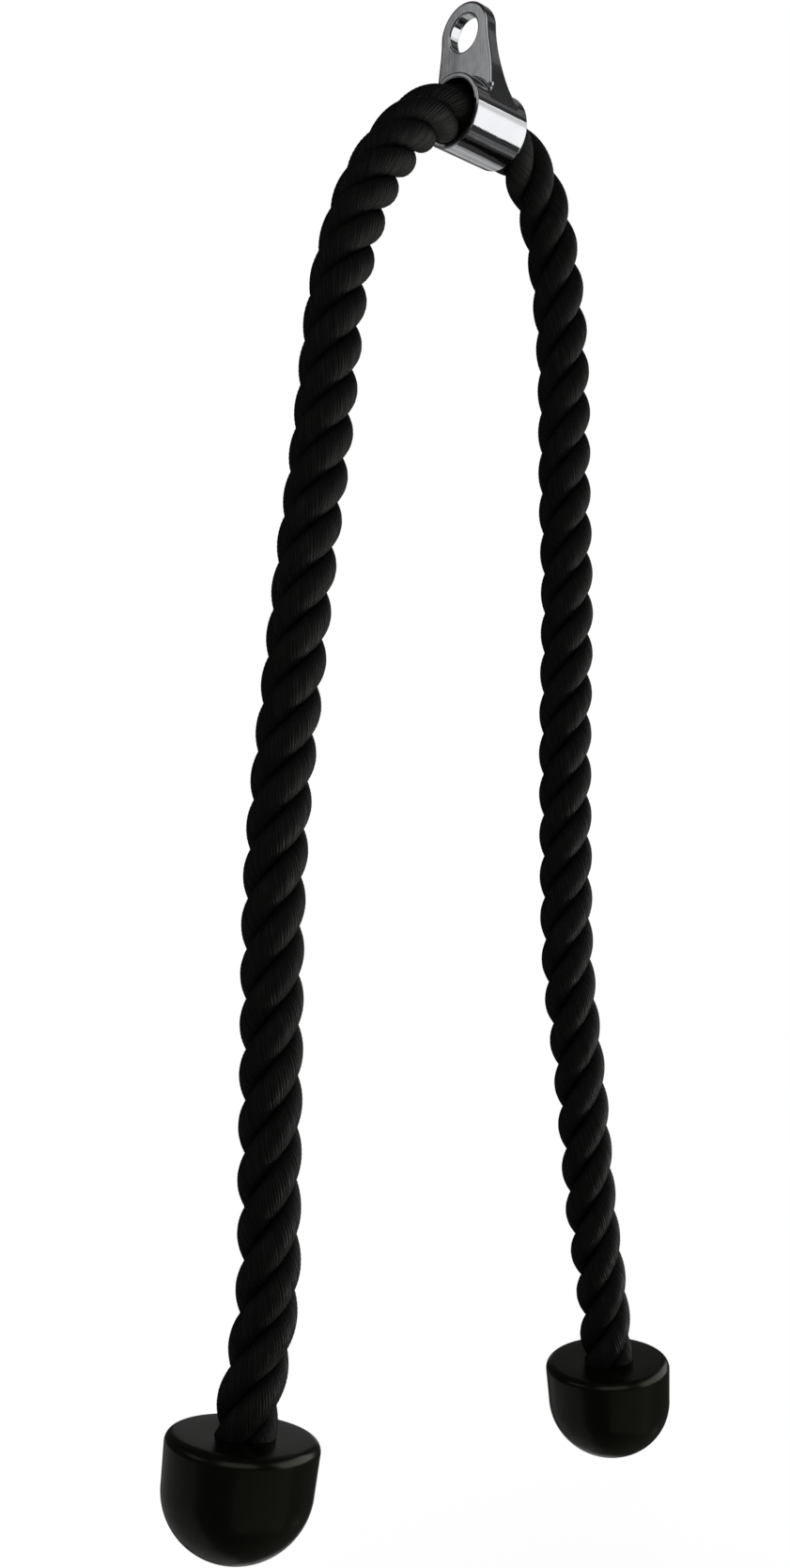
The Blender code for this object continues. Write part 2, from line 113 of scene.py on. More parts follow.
class Graph:
    """Adds nodes to one node tree, with their inputs fed in the same call."""

    MIX_ONE, MIX_OTHER, MIX_RESULT = 6, 7, 2

    def __init__(self, tree: bpy.types.NodeTree) -> None:
        """Takes up a node tree.

        Args:
            tree: The tree that the nodes go into.
        """
        self.tree = tree

    def feed(self, socket: bpy.types.NodeSocket, value: Feed) -> None:
        """Links a socket to another one, or sets its value.

        Args:
            socket: The input to feed.
            value: An output socket, or a plain value.
        """
        if isinstance(value, bpy.types.NodeSocket):
            self.tree.links.new(value, socket)
        else:
            socket.default_value = value

    def node(self, kind: str, feeds: dict | None = None, **settings: object) -> bpy.types.Node:
        """Adds one node.

        Args:
            kind: The node's type.
            feeds: What goes into its inputs, by their name or number.
            settings: The node's own properties.

        Returns:
            The node.
        """
        made = self.tree.nodes.new(kind)
        for name, value in settings.items():
            setattr(made, name, value)
        for key, value in (feeds or {}).items():
            self.feed(made.inputs[key], value)
        return made

    def out(self, kind: str, feeds: dict | None = None, **settings: object) -> bpy.types.NodeSocket:
        """Adds one node and gives its first output."""
        return self.node(kind, feeds, **settings).outputs[0]

    def math(self, operation: str, *values: Feed) -> bpy.types.NodeSocket:
        """The result of one operation on numbers."""
        return self.out("ShaderNodeMath", dict(enumerate(values)), operation=operation)

    def times(self, first: Feed, *others: Feed) -> bpy.types.NodeSocket:
        """The product of two or more numbers.

        Args:
            first: The first number.
            others: The numbers that it is multiplied by.

        Returns:
            The product.
        """
        for other in others:
            first = self.math("MULTIPLY", first, other)
        return first

    def vector(self, operation: str, *values: Feed) -> bpy.types.NodeSocket:
        """The result of one operation on vectors."""
        return self.out("ShaderNodeVectorMath", dict(enumerate(values)), operation=operation)

    def scaled(self, vector: Feed, factor: Feed) -> bpy.types.NodeSocket:
        """A vector times a number."""
        return self.out("ShaderNodeVectorMath", {0: vector, "Scale": factor}, operation="SCALE")

    def total(self, first: Feed, *others: Feed) -> bpy.types.NodeSocket:
        """The sum of two or more vectors.

        Args:
            first: The first vector.
            others: The vectors that are added to it.

        Returns:
            The sum.
        """
        for other in others:
            first = self.vector("ADD", first, other)
        return first

    def measure(self, operation: str, *vectors: Feed) -> bpy.types.NodeSocket:
        """The number that one operation makes of vectors, such as their dot product."""
        made = self.node("ShaderNodeVectorMath", dict(enumerate(vectors)), operation=operation)
        return made.outputs["Value"]

    def height(self, vector: Feed) -> bpy.types.NodeSocket:
        """A vector's Z."""
        return self.node("ShaderNodeSeparateXYZ", {0: vector}).outputs["Z"]

    def joined(self, x: Feed, y: Feed, z: Feed) -> bpy.types.NodeSocket:
        """The vector of three numbers."""
        return self.out("ShaderNodeCombineXYZ", {0: x, 1: y, 2: z})

    def ramp(
        self,
        value: Feed,
        start: float,
        end: float,
        low: Feed = 0.0,
        high: Feed = 1.0,
        kind: str = "SMOOTHSTEP",
    ) -> bpy.types.NodeSocket:
        """A value's change from one level to another between two ends.

        Args:
            value: The value.
            start: Where the change starts.
            end: Where it ends.
            low: The level up to the start.
            high: The level from the end on.
            kind: SMOOTHSTEP for a smooth change, or LINEAR for an even one.

        Returns:
            The level.
        """
        feeds = {"Value": value, "From Min": start, "From Max": end, "To Min": low, "To Max": high}
        return self.out("ShaderNodeMapRange", feeds, interpolation_type=kind)

    def span(self, mask: Feed, low: float, high: float) -> bpy.types.NodeSocket:
        """A mask from 0 to 1 taken onto the range from low to high."""
        return self.ramp(mask, 0.0, 1.0, low, high, "LINEAR")

    def object_place(self) -> bpy.types.NodeSocket:
        """The shaded point in the object's own frame."""
        return self.node("ShaderNodeTexCoord").outputs["Object"]

    def noise(self, place: Feed, scale: Feed, detail: float) -> bpy.types.NodeSocket:
        """Soft noise from 0 to 1."""
        return self.out("ShaderNodeTexNoise", {"Vector": place, "Scale": scale, "Detail": detail})

    def direct_rays(self) -> bpy.types.NodeSocket:
        """Tells rays that show a surface, also in a mirror or through glass, from those that carry its light.

        Returns:
            1 for the first and 0 for the others.
        """
        rays = self.node("ShaderNodeLightPath").outputs
        mirrored = self.math("MAXIMUM", rays["Is Glossy Ray"], rays["Is Transmission Ray"])
        return self.math("MAXIMUM", rays["Is Camera Ray"], mirrored)

    def stored(self, mesh: Feed, name: str, value: Feed, kind: str) -> bpy.types.NodeSocket:
        """A mesh that keeps a value at each of its points under a name."""
        feeds = {"Geometry": mesh, "Name": name, "Value": value}
        return self.out("GeometryNodeStoreNamedAttribute", feeds, data_type=kind)

    def recalled(self, name: str) -> bpy.types.NodeSocket:
        """The number that each point keeps under a name."""
        return self.out("GeometryNodeInputNamedAttribute", {"Name": name}, data_type="FLOAT")

    def mixed(self, mask: Feed, one: Colour, other: Colour) -> bpy.types.NodeSocket:
        """A colour between two, by a mask."""
        feeds = {0: mask, self.MIX_ONE: (*one, 1), self.MIX_OTHER: (*other, 1)}
        return self.node("ShaderNodeMix", feeds, data_type="RGBA").outputs[self.MIX_RESULT]


def bare_graph(owner: bpy.types.Material | bpy.types.World) -> Graph:
    """Starts the nodes of a material or a world from nothing.

    Args:
        owner: The material or the world.

    Returns:
        The graph of its empty tree.
    """
    owner.use_nodes = True
    owner.node_tree.nodes.clear()
    return Graph(owner.node_tree)


def placed(name: str, data: bpy.types.ID) -> bpy.types.Object:
    """Adds an object to the scene.

    Args:
        name: Its name.
        data: Its mesh, lamp or camera.

    Returns:
        The object.
    """
    made = bpy.data.objects.new(name, data)
    bpy.context.scene.collection.objects.link(made)
    return made


def new_group(name: str, kind: str, inputs: dict[str, tuple[str, object]], outputs: dict[str, str]) -> Graph:
    """Starts a node group with its sockets.

    Args:
        name: The group's name.
        kind: The type of its tree.
        inputs: Each input's socket type and first value, by its name.
        outputs: Each output's socket type, by its name.

    Returns:
        The graph of the new tree.
    """
    tree = bpy.data.node_groups.new(name, kind)
    for label, (socket_type, value) in inputs.items():
        socket = tree.interface.new_socket(label, in_out="INPUT", socket_type=socket_type)
        if value is not None:
            socket.default_value = value
    for label, socket_type in outputs.items():
        tree.interface.new_socket(label, in_out="OUTPUT", socket_type=socket_type)
    return Graph(tree)


# Shared effects of the finishes


def grain_group() -> bpy.types.NodeTree:
    """Fine grain: a soft cloudy mask and a height with a finer grain laid over it.

    Returns:
        The shader node group.
    """
    float_type, vector_type = "NodeSocketFloat", "NodeSocketVector"
    graph = new_group(
        "fine_grain",
        "ShaderNodeTree",
        {"Vector": (vector_type, None), "Scale": (float_type, 200.0), "Fineness": (float_type, 8.0)},
        {"Mask": float_type, "Height": float_type},
    )
    given = graph.node("NodeGroupInput").outputs
    cloud_detail, grain_detail, grain_share = 3.0, 2.0, 0.6
    cloud = graph.noise(given["Vector"], given["Scale"], cloud_detail)
    grain = graph.noise(given["Vector"], graph.times(given["Scale"], given["Fineness"]), grain_detail)
    height = graph.math("MULTIPLY_ADD", grain, grain_share, cloud)
    graph.node("NodeGroupOutput", {"Mask": cloud, "Height": height})
    return graph.tree


def streak_group() -> bpy.types.NodeTree:
    """Streaks that run along Z of the given vector: polishing lines, brushing or fibres.

    Returns:
        The shader node group.
    """
    float_type, vector_type = "NodeSocketFloat", "NodeSocketVector"
    graph = new_group(
        "fine_streaks",
        "ShaderNodeTree",
        {"Vector": (vector_type, None), "Across": (float_type, 40.0), "Along": (float_type, 4.0)},
        {"Mask": float_type},
    )
    given = graph.node("NodeGroupInput").outputs
    stretch = graph.joined(given["Across"], given["Across"], given["Along"])
    spread = graph.vector("MULTIPLY", given["Vector"], stretch)
    streak_detail = 2.0
    graph.node("NodeGroupOutput", {"Mask": graph.noise(spread, 1.0, streak_detail)})
    return graph.tree


@dataclass(frozen=True)
class Effects:
    """The shader node groups that more than one finish uses."""

    grain_tree: bpy.types.NodeTree
    streak_tree: bpy.types.NodeTree

    def grain(self, graph: Graph, place: Feed, scale: float) -> bpy.types.NodeOutputs:
        """Adds the fine grain to a material.

        Args:
            graph: The material's graph.
            place: The shaded point.
            scale: The size of the cloudy mask, in patches per metre.

        Returns:
            The outputs Mask and Height.
        """
        feeds = {"Vector": place, "Scale": scale}
        return graph.node("ShaderNodeGroup", feeds, node_tree=self.grain_tree).outputs

    def streaks(self, graph: Graph, place: Feed, across: float, along: float) -> bpy.types.NodeSocket:
        """Adds streaks to a material.

        Args:
            graph: The material's graph.
            place: The shaded point, with the streaks along its Z.
            across: How many streaks there are to a unit of its X and Y.
            along: How often they change in a unit of its Z.

        Returns:
            The mask.
        """
        feeds = {"Vector": place, "Across": across, "Along": along}
        return graph.out("ShaderNodeGroup", feeds, node_tree=self.streak_tree)


@dataclass(frozen=True)
class Finish:
    """One finish, whose colour, roughness and relief follow three masks."""

    name: str
    colours: tuple[Colour, Colour]
    roughness: tuple[float, float]
    relief: float
    metallic: float = 0.0
    specular_level: float = 0.5
    specular_tint: Colour = (1.0, 1.0, 1.0)

    def surface(self, graph: Graph, effects: Effects) -> tuple[Feed, Feed, Feed]:
        """The three masks, which each finish makes in its own way.

        Args:
            graph: The material's graph.
            effects: The shared effects.

        Returns:
            The masks of the colour and of the roughness, and the height in units of the relief.
        """
        raise NotImplementedError

    def build(self, effects: Effects) -> bpy.types.Material:
        """Makes the material.

        Args:
            effects: The shared effects.

        Returns:
            The material.
        """
        made = bpy.data.materials.new(self.name)
        made.use_nodes = True
        graph = Graph(made.node_tree)
        tone, wear, height = self.surface(graph, effects)
        relief = {"Height": height, "Distance": self.relief, "Strength": 1.0}
        feeds = {
            "Base Color": graph.mixed(tone, *self.colours),
            "Roughness": graph.span(wear, *self.roughness),
            "Normal": graph.out("ShaderNodeBump", relief),
            "Metallic": self.metallic,
            "Specular IOR Level": self.specular_level,
            "Specular Tint": (*self.specular_tint, 1),
        }
        shader = made.node_tree.nodes["Principled BSDF"]
        for label, value in feeds.items():
            graph.feed(shader.inputs[label], value)
        return made


@dataclass(frozen=True)
class ChromeFinish(Finish):
    """Polished chrome plating with faint haze, polishing lines and the casting's slight waves."""

    name: str = "polished_chrome"
    colours: tuple[Colour, Colour] = ((0.74, 0.75, 0.77), (0.66, 0.67, 0.69))
    roughness: tuple[float, float] = (0.02, 0.06)
    relief: float = 0.000012
    metallic: float = 1.0
    haze_scale: float = 90.0
    line_across: float = 2600.0
    line_along: float = 60.0
    cast_scale: float = 110.0
    cast_detail: float = 1.0
    cast_depth: float = 0.00007

    def surface(self, graph: Graph, effects: Effects) -> tuple[Feed, Feed, Feed]:
        """Haze for the colour, lines in the haze for the roughness, and lines on waves for the height.

        Args:
            graph: The material's graph.
            effects: The shared effects.

        Returns:
            The two masks and the height.
        """
        place = graph.object_place()
        haze = effects.grain(graph, place, self.haze_scale)["Mask"]
        lines = effects.streaks(graph, place, self.line_across, self.line_along)
        cast = graph.noise(place, self.cast_scale, self.cast_detail)
        height = graph.math("MULTIPLY_ADD", cast, self.cast_depth / self.relief, lines)
        return haze, graph.times(haze, lines), height


@dataclass(frozen=True)
class RopeFinish(Finish):
    """Black satin fibre whose shade and gloss change from yarn to yarn."""

    name: str = "black_rope_fibre"
    colours: tuple[Colour, Colour] = ((0.0026, 0.0030, 0.0025), (0.0090, 0.0099, 0.0083))
    roughness: tuple[float, float] = (0.66, 0.34)
    relief: float = 0.00007
    specular_level: float = 0.12
    yarn_across: float = 6.5
    yarn_along: float = 42.0
    yarn_contrast: tuple[float, float] = (0.36, 0.64)
    yarn_share: float = 4.2
    fibre_across: float = 30.0
    fibre_along: float = 120.0

    def surface(self, graph: Graph, effects: Effects) -> tuple[Feed, Feed, Feed]:
        """Yarns and fibres for the colour and the height, and yarns alone for the roughness.

        Args:
            graph: The material's graph.
            effects: The shared effects.

        Returns:
            The two masks and the height.
        """
        way = graph.node("ShaderNodeAttribute", attribute_name=LaidRope.WAY).outputs["Vector"]
        yarns = effects.streaks(graph, way, self.yarn_across, self.yarn_along)
        fibres = effects.streaks(graph, way, self.fibre_across, self.fibre_along)
        yarns = graph.ramp(yarns, *self.yarn_contrast, kind="LINEAR")
        tone = graph.times(graph.math("ADD", yarns, fibres), 1 / 2)
        return tone, yarns, graph.math("MULTIPLY_ADD", yarns, self.yarn_share, fibres)


@dataclass(frozen=True)
class MouldedFinish(Finish):
    """Black moulding with a fine, slightly glossy skin."""

    name: str = "black_moulding"
    colours: tuple[Colour, Colour] = ((0.0016, 0.0017, 0.0010), (0.0028, 0.0030, 0.0018))
    roughness: tuple[float, float] = (0.21, 0.27)
    relief: float = 0.000007
    specular_level: float = 0.4
    specular_tint: Colour = (0.99, 1.0, 0.80)
    grain_scale: float = 420.0

    def surface(self, graph: Graph, effects: Effects) -> tuple[Feed, Feed, Feed]:
        """The fine grain, all through."""
        grain = effects.grain(graph, graph.object_place(), self.grain_scale)
        return grain["Mask"], grain["Mask"], grain["Height"]


@dataclass(frozen=True)
class ZincFinish(Finish):
    """Zinc-plated steel, brushed and a little dull."""

    name: str = "zinc_plated_steel"
    colours: tuple[Colour, Colour] = ((0.58, 0.59, 0.60), (0.44, 0.45, 0.46))
    roughness: tuple[float, float] = (0.28, 0.48)
    relief: float = 0.00002
    metallic: float = 1.0
    spangle_scale: float = 300.0
    brush_across: float = 3000.0
    brush_along: float = 120.0

    def surface(self, graph: Graph, effects: Effects) -> tuple[Feed, Feed, Feed]:
        """Spangle for the colour, and brushing for the roughness and the height.

        Args:
            graph: The material's graph.
            effects: The shared effects.

        Returns:
            The two masks and the height.
        """
        place = graph.object_place()
        brushed = effects.streaks(graph, place, self.brush_across, self.brush_along)
        return effects.grain(graph, place, self.spangle_scale)["Mask"], brushed, brushed


@dataclass(frozen=True)
class TapeFinish(Finish):
    """Black cloth tape with a fine plain weave."""

    name: str = "black_cloth_tape"
    colours: tuple[Colour, Colour] = ((0.020, 0.020, 0.021), (0.050, 0.050, 0.052))
    roughness: tuple[float, float] = (0.7, 1.0)
    relief: float = 0.00008
    thread_scale: float = 500.0
    soil_scale: float = 150.0

    def surface(self, graph: Graph, effects: Effects) -> tuple[Feed, Feed, Feed]:
        """Soiled threads for the colour, soil for the roughness and threads for the height.

        Args:
            graph: The material's graph.
            effects: The shared effects.

        Returns:
            The two masks and the height.
        """
        place = graph.object_place()
        feeds = {"Vector": place, "Scale": self.thread_scale}
        threads = [
            graph.node("ShaderNodeTexWave", feeds, bands_direction=way).outputs["Fac"]
            for way in ("Z", "DIAGONAL")
        ]
        weave = graph.math("MAXIMUM", *threads)
        soil = effects.grain(graph, place, self.soil_scale)["Mask"]
        return graph.times(weave, soil), soil, weave


# The rope's line


def hermite(
    t: np.ndarray, start: np.ndarray, end: np.ndarray, pull_in: np.ndarray, pull_out: np.ndarray
) -> np.ndarray:
    """A smooth way from one value to the next.

    Args:
        t: How far along each value is wanted, from 0 to 1.
        start: The value at 0.
        end: The value at 1.
        pull_in: The slope at 0.
        pull_out: The slope at 1.

    Returns:
        The values.
    """
    held = (2 * t**3 - 3 * t**2 + 1) * start + (3 * t**2 - 2 * t**3) * end
    return held + (t**3 - 2 * t**2 + t) * pull_in + (t**3 - t**2) * pull_out


def lean_axis(lean: float) -> Vector:
    """The upward axis of a piece that leans about Y by an angle in degrees."""
    return Vector((math.sin(math.radians(lean)), 0, math.cos(math.radians(lean))))


class RopeLine:
    """The smooth line through the route's points, measured along from the middle of the tube."""

    LEANS = {Side.LEFT: 8.56, Side.RIGHT: -4.18}
    TUBE_DROP = 0.0392
    TUBE_SHIFT = 0.0048
    FINE_STEPS = 6000

    # The rope's points as (x, z) from the middle of the tube, from the left cap's top to the right one's
    ROUTE = (
        (-0.1386, -0.5665), (-0.1318, -0.5400), (-0.1270, -0.5180), (-0.1255, -0.4800),
        (-0.1246, -0.4200), (-0.1233, -0.3560), (-0.1195, -0.3120), (-0.1135, -0.2690),
        (-0.1062, -0.2180), (-0.0976, -0.1670), (-0.0927, -0.1310), (-0.0883, -0.1020),
        (-0.0795, -0.0720), (-0.0727, -0.0560), (-0.0630, -0.0395), (-0.0511, -0.0243),
        (-0.0416, -0.0143), (-0.0302, -0.0064), (-0.0175, -0.0011), (-0.0090, 0.0007),
        (0.0000, 0.0014), (0.0090, 0.0008), (0.0175, -0.0010), (0.0289, -0.0053),
        (0.0403, -0.0132), (0.0492, -0.0253), (0.0546, -0.0385), (0.0588, -0.0530),
        (0.0638, -0.0830), (0.0660, -0.1180), (0.0664, -0.1600), (0.0681, -0.2150),
        (0.0668, -0.2700), (0.0668, -0.3550), (0.0690, -0.4020), (0.0752, -0.4380),
        (0.0823, -0.4870), (0.0895, -0.5340), (0.0966, -0.5690), (0.0995, -0.5974),
    )  # fmt: skip

    def __init__(self) -> None:
        """Lays the line through the route."""
        self.points = np.array([(x + self.TUBE_SHIFT, 0, z - self.TUBE_DROP) for x, z in self.ROUTE])
        self.knots = np.r_[0, np.cumsum(np.linalg.norm(np.diff(self.points, axis=0), axis=1))]
        self.slopes = self.steady_slopes()
        self.fine = self.at_knots(np.linspace(0, self.knots[-1], self.FINE_STEPS))
        along = np.r_[0, np.cumsum(np.linalg.norm(np.diff(self.fine, axis=0), axis=1))]
        self.along = along - along[np.abs(self.fine[:, 0] - self.TUBE_SHIFT).argmin()]

    def steady_slopes(self) -> np.ndarray:
        """Slopes that keep the bend steady from one span to the next, with the two ends' given.

        Returns:
            One slope for each point of the route.
        """
        count = len(self.points)
        spans = np.diff(self.knots)
        matrix, right = np.eye(count), np.zeros((count, 3))
        right[0], right[-1] = lean_axis(self.LEANS[Side.LEFT]), -lean_axis(self.LEANS[Side.RIGHT])
        for i in range(1, count - 1):
            before, after = spans[i - 1], spans[i]
            matrix[i, i - 1 : i + 2] = 1 / before, 2 / before + 2 / after, 1 / after
            rise = (self.points[i] - self.points[i - 1]) / before**2
            right[i] = 3 * (rise + (self.points[i + 1] - self.points[i]) / after**2)
        return np.linalg.solve(matrix, right)

    def at_knots(self, values: np.ndarray) -> np.ndarray:
        """The line's points at some knot values.

        Args:
            values: The knot values.

        Returns:
            One point for each.
        """
        i = np.clip(np.searchsorted(self.knots, values) - 1, 0, len(self.points) - 2)
        span = (self.knots[i + 1] - self.knots[i])[:, None]
        t = (values - self.knots[i])[:, None] / span
        pulls = self.slopes[i] * span, self.slopes[i + 1] * span
        return hermite(t, self.points[i], self.points[i + 1], *pulls)

    def at(self, lengths: np.ndarray) -> np.ndarray:
        """The points at some lengths along the rope, which runs on straight beyond both caps' tops.

        Args:
            lengths: Lengths from the middle of the tube, positive to the right.

        Returns:
            One point for each length.
        """
        lengths = np.asarray(lengths, float)
        held = np.clip(lengths, self.along[0], self.along[-1])
        points = np.stack([np.interp(held, self.along, self.fine[:, k]) for k in range(3)], -1)
        ends = {-1: lean_axis(self.LEANS[Side.LEFT]), 1: -lean_axis(self.LEANS[Side.RIGHT]), 0: Vector()}
        beyond = lengths - held
        return points + beyond[:, None] * np.array([ends[int(np.sign(run))] for run in beyond])

    def point(self, length: float) -> Place:
        """The point at one length along the rope."""
        return tuple(float(v) for v in self.at([length])[0])

    def tail(self, side: Side) -> float:
        """The length along the rope, without its sign, at which it goes into this side's cap."""
        return abs(float(self.along[-1] if side is Side.RIGHT else self.along[0]))


def spline_through(places: np.ndarray, values: np.ndarray, wanted: np.ndarray) -> np.ndarray:
    """A smooth curve through some values, which runs on straight beyond both ends.

    Args:
        places: Where the values are, in rising order.
        values: The values.
        wanted: Where the curve is wanted.

    Returns:
        The curve at the wanted places.
    """
    slopes = np.gradient(values, places)
    i = np.clip(np.searchsorted(places, wanted) - 1, 0, len(places) - 2)
    span = places[i + 1] - places[i]
    t = np.clip((wanted - places[i]) / span, 0, 1)
    smooth = hermite(t, values[i], values[i + 1], slopes[i] * span, slopes[i + 1] * span)
    beyond = np.minimum(wanted - places[0], 0) * slopes[0] + np.maximum(wanted - places[-1], 0) * slopes[-1]
    return smooth + beyond


# The laid rope


@dataclass
class LaidRope:
    """Three strands laid round the rope's line, with the yarns of each strand in relief."""

    line: RopeLine
    material: bpy.types.Material
    diameter: float = 0.026
    strand_radius: float = 0.0055
    strand_offset: float = 0.0074
    strand_width: float = 1.14
    lay_rate: float = 105.0
    yarns: int = 20
    points_per_yarn: int = 4
    yarn_depth: float = 0.00020
    yarn_turn: float = -342.0
    ring_step: float = 0.0012
    unevenness: float = 0.00022
    lump_scale: float = 45.0
    lump_detail: float = 1.0
    seed: int = 7
    seed_step: float = 13.1
    strand_step: float = 3.7
    strand_gap: float = 0.37
    path_step: float = 0.0005
    path_margin: float = 0.006
    overrun_rings: int = 2
    inside_cap: float = 0.039
    cord_points: int = 24

    WAY = "yarn_way"
    TURNS = "lay_turns"
    TRUE_NORMAL = "true_normal"
    PAST_END = "past_end"
    STRANDS = 3
    QUAD = 4

    # The turns that the strands have made at some lengths along the rope
    LAY = (
        (-0.566, -9.991), (-0.486, -8.736), (-0.406, -7.409), (-0.326, -6.053), (-0.246, -4.699),
        (-0.166, -3.312), (-0.086, -1.948), (0.082, 0.803), (0.162, 2.112), (0.242, 3.451),
        (0.322, 4.791), (0.402, 6.114), (0.482, 7.398), (0.562, 8.629),
    )  # fmt: skip

    def __post_init__(self) -> None:
        """Builds the node tree that lays the strands."""
        self.tree = self.laying_tree()

    def laying_tree(self) -> bpy.types.NodeTree:
        """The geometry node tree that turns a path into laid strands.

        Returns:
            The tree, whose inputs are the rope's sizes.
        """
        float_type, int_type = "NodeSocketFloat", "NodeSocketInt"
        inputs = {
            "Path": ("NodeSocketGeometry", None),
            "Length": (float_type, None),
            "Overrun": (float_type, None),
            "Rings": (int_type, None),
            "Start": (float_type, None),
            "Material": ("NodeSocketMaterial", None),
            "Margin": (float_type, self.path_margin),
            "Strand Radius": (float_type, self.strand_radius),
            "Strand Offset": (float_type, self.strand_offset),
            "Strand Width": (float_type, self.strand_width),
            "Lay Rate": (float_type, self.lay_rate),
            "Yarns": (int_type, self.yarns),
            "Points per Yarn": (int_type, self.points_per_yarn),
            "Yarn Depth": (float_type, self.yarn_depth),
            "Yarn Turn": (float_type, self.yarn_turn),
            "Unevenness": (float_type, self.unevenness),
            "Seed": (int_type, self.seed),
        }
        graph = new_group("laid_rope", "GeometryNodeTree", inputs, {"Geometry": "NodeSocketGeometry"})
        graph.tree.is_modifier = True
        given = graph.node("NodeGroupInput").outputs

        # Three blank strands: straight tubes of radius 1 and length 1
        feeds = {
            "Vertices": graph.times(given["Yarns"], given["Points per Yarn"]),
            "Side Segments": given["Rings"],
            "Radius": 1.0,
            "Depth": 1.0,
        }
        blank = graph.out("GeometryNodeMeshCylinder", feeds, fill_type="NONE")
        feeds = {"Geometry": graph.out("GeometryNodeGeometryToInstance", {0: blank}), "Amount": self.STRANDS}
        triple = graph.node("GeometryNodeDuplicateElements", feeds, domain="INSTANCE").outputs
        strands = graph.out("GeometryNodeRealizeInstances", {"Geometry": triple["Geometry"]})
        which = triple["Duplicate Index"]

        # How far along the rope each of their points belongs
        x, y, z = graph.node("ShaderNodeSeparateXYZ", {0: graph.out("GeometryNodeInputPosition")}).outputs
        covered = graph.math("MULTIPLY_ADD", given["Overrun"], 2.0, given["Length"])
        reach = graph.times(graph.math("ADD", z, 1 / 2), covered)
        along = graph.math("SUBTRACT", reach, given["Overrun"])
        from_tube = graph.math("ADD", given["Start"], along)

        # The rope's place, its way and its strands' turns there
        feeds = {
            "Curves": graph.out("GeometryNodeMeshToCurve", {"Mesh": given["Path"]}),
            "Value": graph.recalled(self.TURNS),
            "Length": graph.math("ADD", given["Margin"], along),
        }
        sample = graph.node("GeometryNodeSampleCurve", feeds, mode="LENGTH", data_type="FLOAT").outputs
        rope_way = graph.vector("NORMALIZE", sample["Tangent"])

        # The side of the rope that the strand is on, and the strand's own way
        share = graph.math("DIVIDE", which, float(self.STRANDS))
        angle = graph.times(graph.math("ADD", sample["Value"], share), TURN)
        level = (0.0, 1.0, 0.0)
        crosswise = graph.vector("CROSS_PRODUCT", rope_way, level)
        outward = graph.total(
            graph.scaled(level, graph.math("COSINE", angle)),
            graph.scaled(crosswise, graph.math("SINE", angle)),
        )
        round_way = graph.vector("CROSS_PRODUCT", rope_way, outward)
        slant = graph.times(given["Strand Offset"], given["Lay Rate"])
        strand_way = graph.vector("NORMALIZE", graph.total(rope_way, graph.scaled(round_way, slant)))
        sideways = graph.vector("CROSS_PRODUCT", strand_way, outward)

        # The yarns, with a groove between each two, which turn along the strand
        yarn_angle = graph.math("ARCTAN2", y, x)
        wave = graph.math("SINE", graph.times(yarn_angle, graph.times(given["Yarns"], 1 / 2)))
        groove = graph.math("SUBTRACT", 1.0, graph.math("ABSOLUTE", wave))
        surface_angle = graph.math("MULTIPLY_ADD", from_tube, given["Yarn Turn"], yarn_angle)

        # The strand's radius, a little uneven and less in the grooves
        strand_drift = graph.times(which, self.strand_step)
        drift = graph.math("MULTIPLY_ADD", given["Seed"], self.seed_step, strand_drift)
        lump_place = graph.joined(
            graph.math("MULTIPLY_ADD", x, 1 / 2, drift),
            graph.times(y, 1 / 2),
            graph.times(from_tube, self.lump_scale),
        )
        lumps = graph.math("SUBTRACT", graph.noise(lump_place, 1.0, self.lump_detail), 1 / 2)
        radius = graph.math("ADD", given["Strand Radius"], graph.times(lumps, given["Unevenness"]))
        radius = graph.math("SUBTRACT", radius, graph.times(groove, given["Yarn Depth"]))

        # The point's place on the laid strand
        cosine, sine = graph.math("COSINE", surface_angle), graph.math("SINE", surface_angle)
        out_run = graph.math("MULTIPLY_ADD", radius, cosine, given["Strand Offset"])
        side_run = graph.times(radius, given["Strand Width"], sine)
        across = graph.total(graph.scaled(outward, out_run), graph.scaled(sideways, side_run))

        # What the finish and the closed ends need is kept at each point, and the overrun is cut off
        far = graph.math("MULTIPLY_ADD", which, self.strand_gap, from_tube)
        marked = graph.stored(strands, self.WAY, graph.joined(x, y, far), "FLOAT_VECTOR")
        past_start = graph.math("LESS_THAN", along, -self.ring_step / 2)
        past_end = graph.math("GREATER_THAN", along, graph.math("ADD", given["Length"], self.ring_step / 2))
        marked = graph.stored(marked, self.PAST_END, graph.math("MAXIMUM", past_start, past_end), "FLOAT")
        feeds = {"Geometry": marked, "Position": graph.total(sample["Position"], across)}
        laid = graph.out("GeometryNodeSetPosition", feeds)
        laid = graph.stored(laid, self.TRUE_NORMAL, graph.out("GeometryNodeInputNormal"), "FLOAT_VECTOR")
        past = graph.math("GREATER_THAN", graph.recalled(self.PAST_END), 1 / 2)
        kept = graph.out("GeometryNodeDeleteGeometry", {"Geometry": laid, "Selection": past}, domain="POINT")
        smooth = graph.out("GeometryNodeSetShadeSmooth", {"Geometry": kept})
        real = graph.out("GeometryNodeRealizeInstances", {"Geometry": smooth})
        done = graph.out("GeometryNodeSetMaterial", {"Geometry": real, "Material": given["Material"]})
        graph.node("NodeGroupOutput", {"Geometry": done})
        return graph.tree

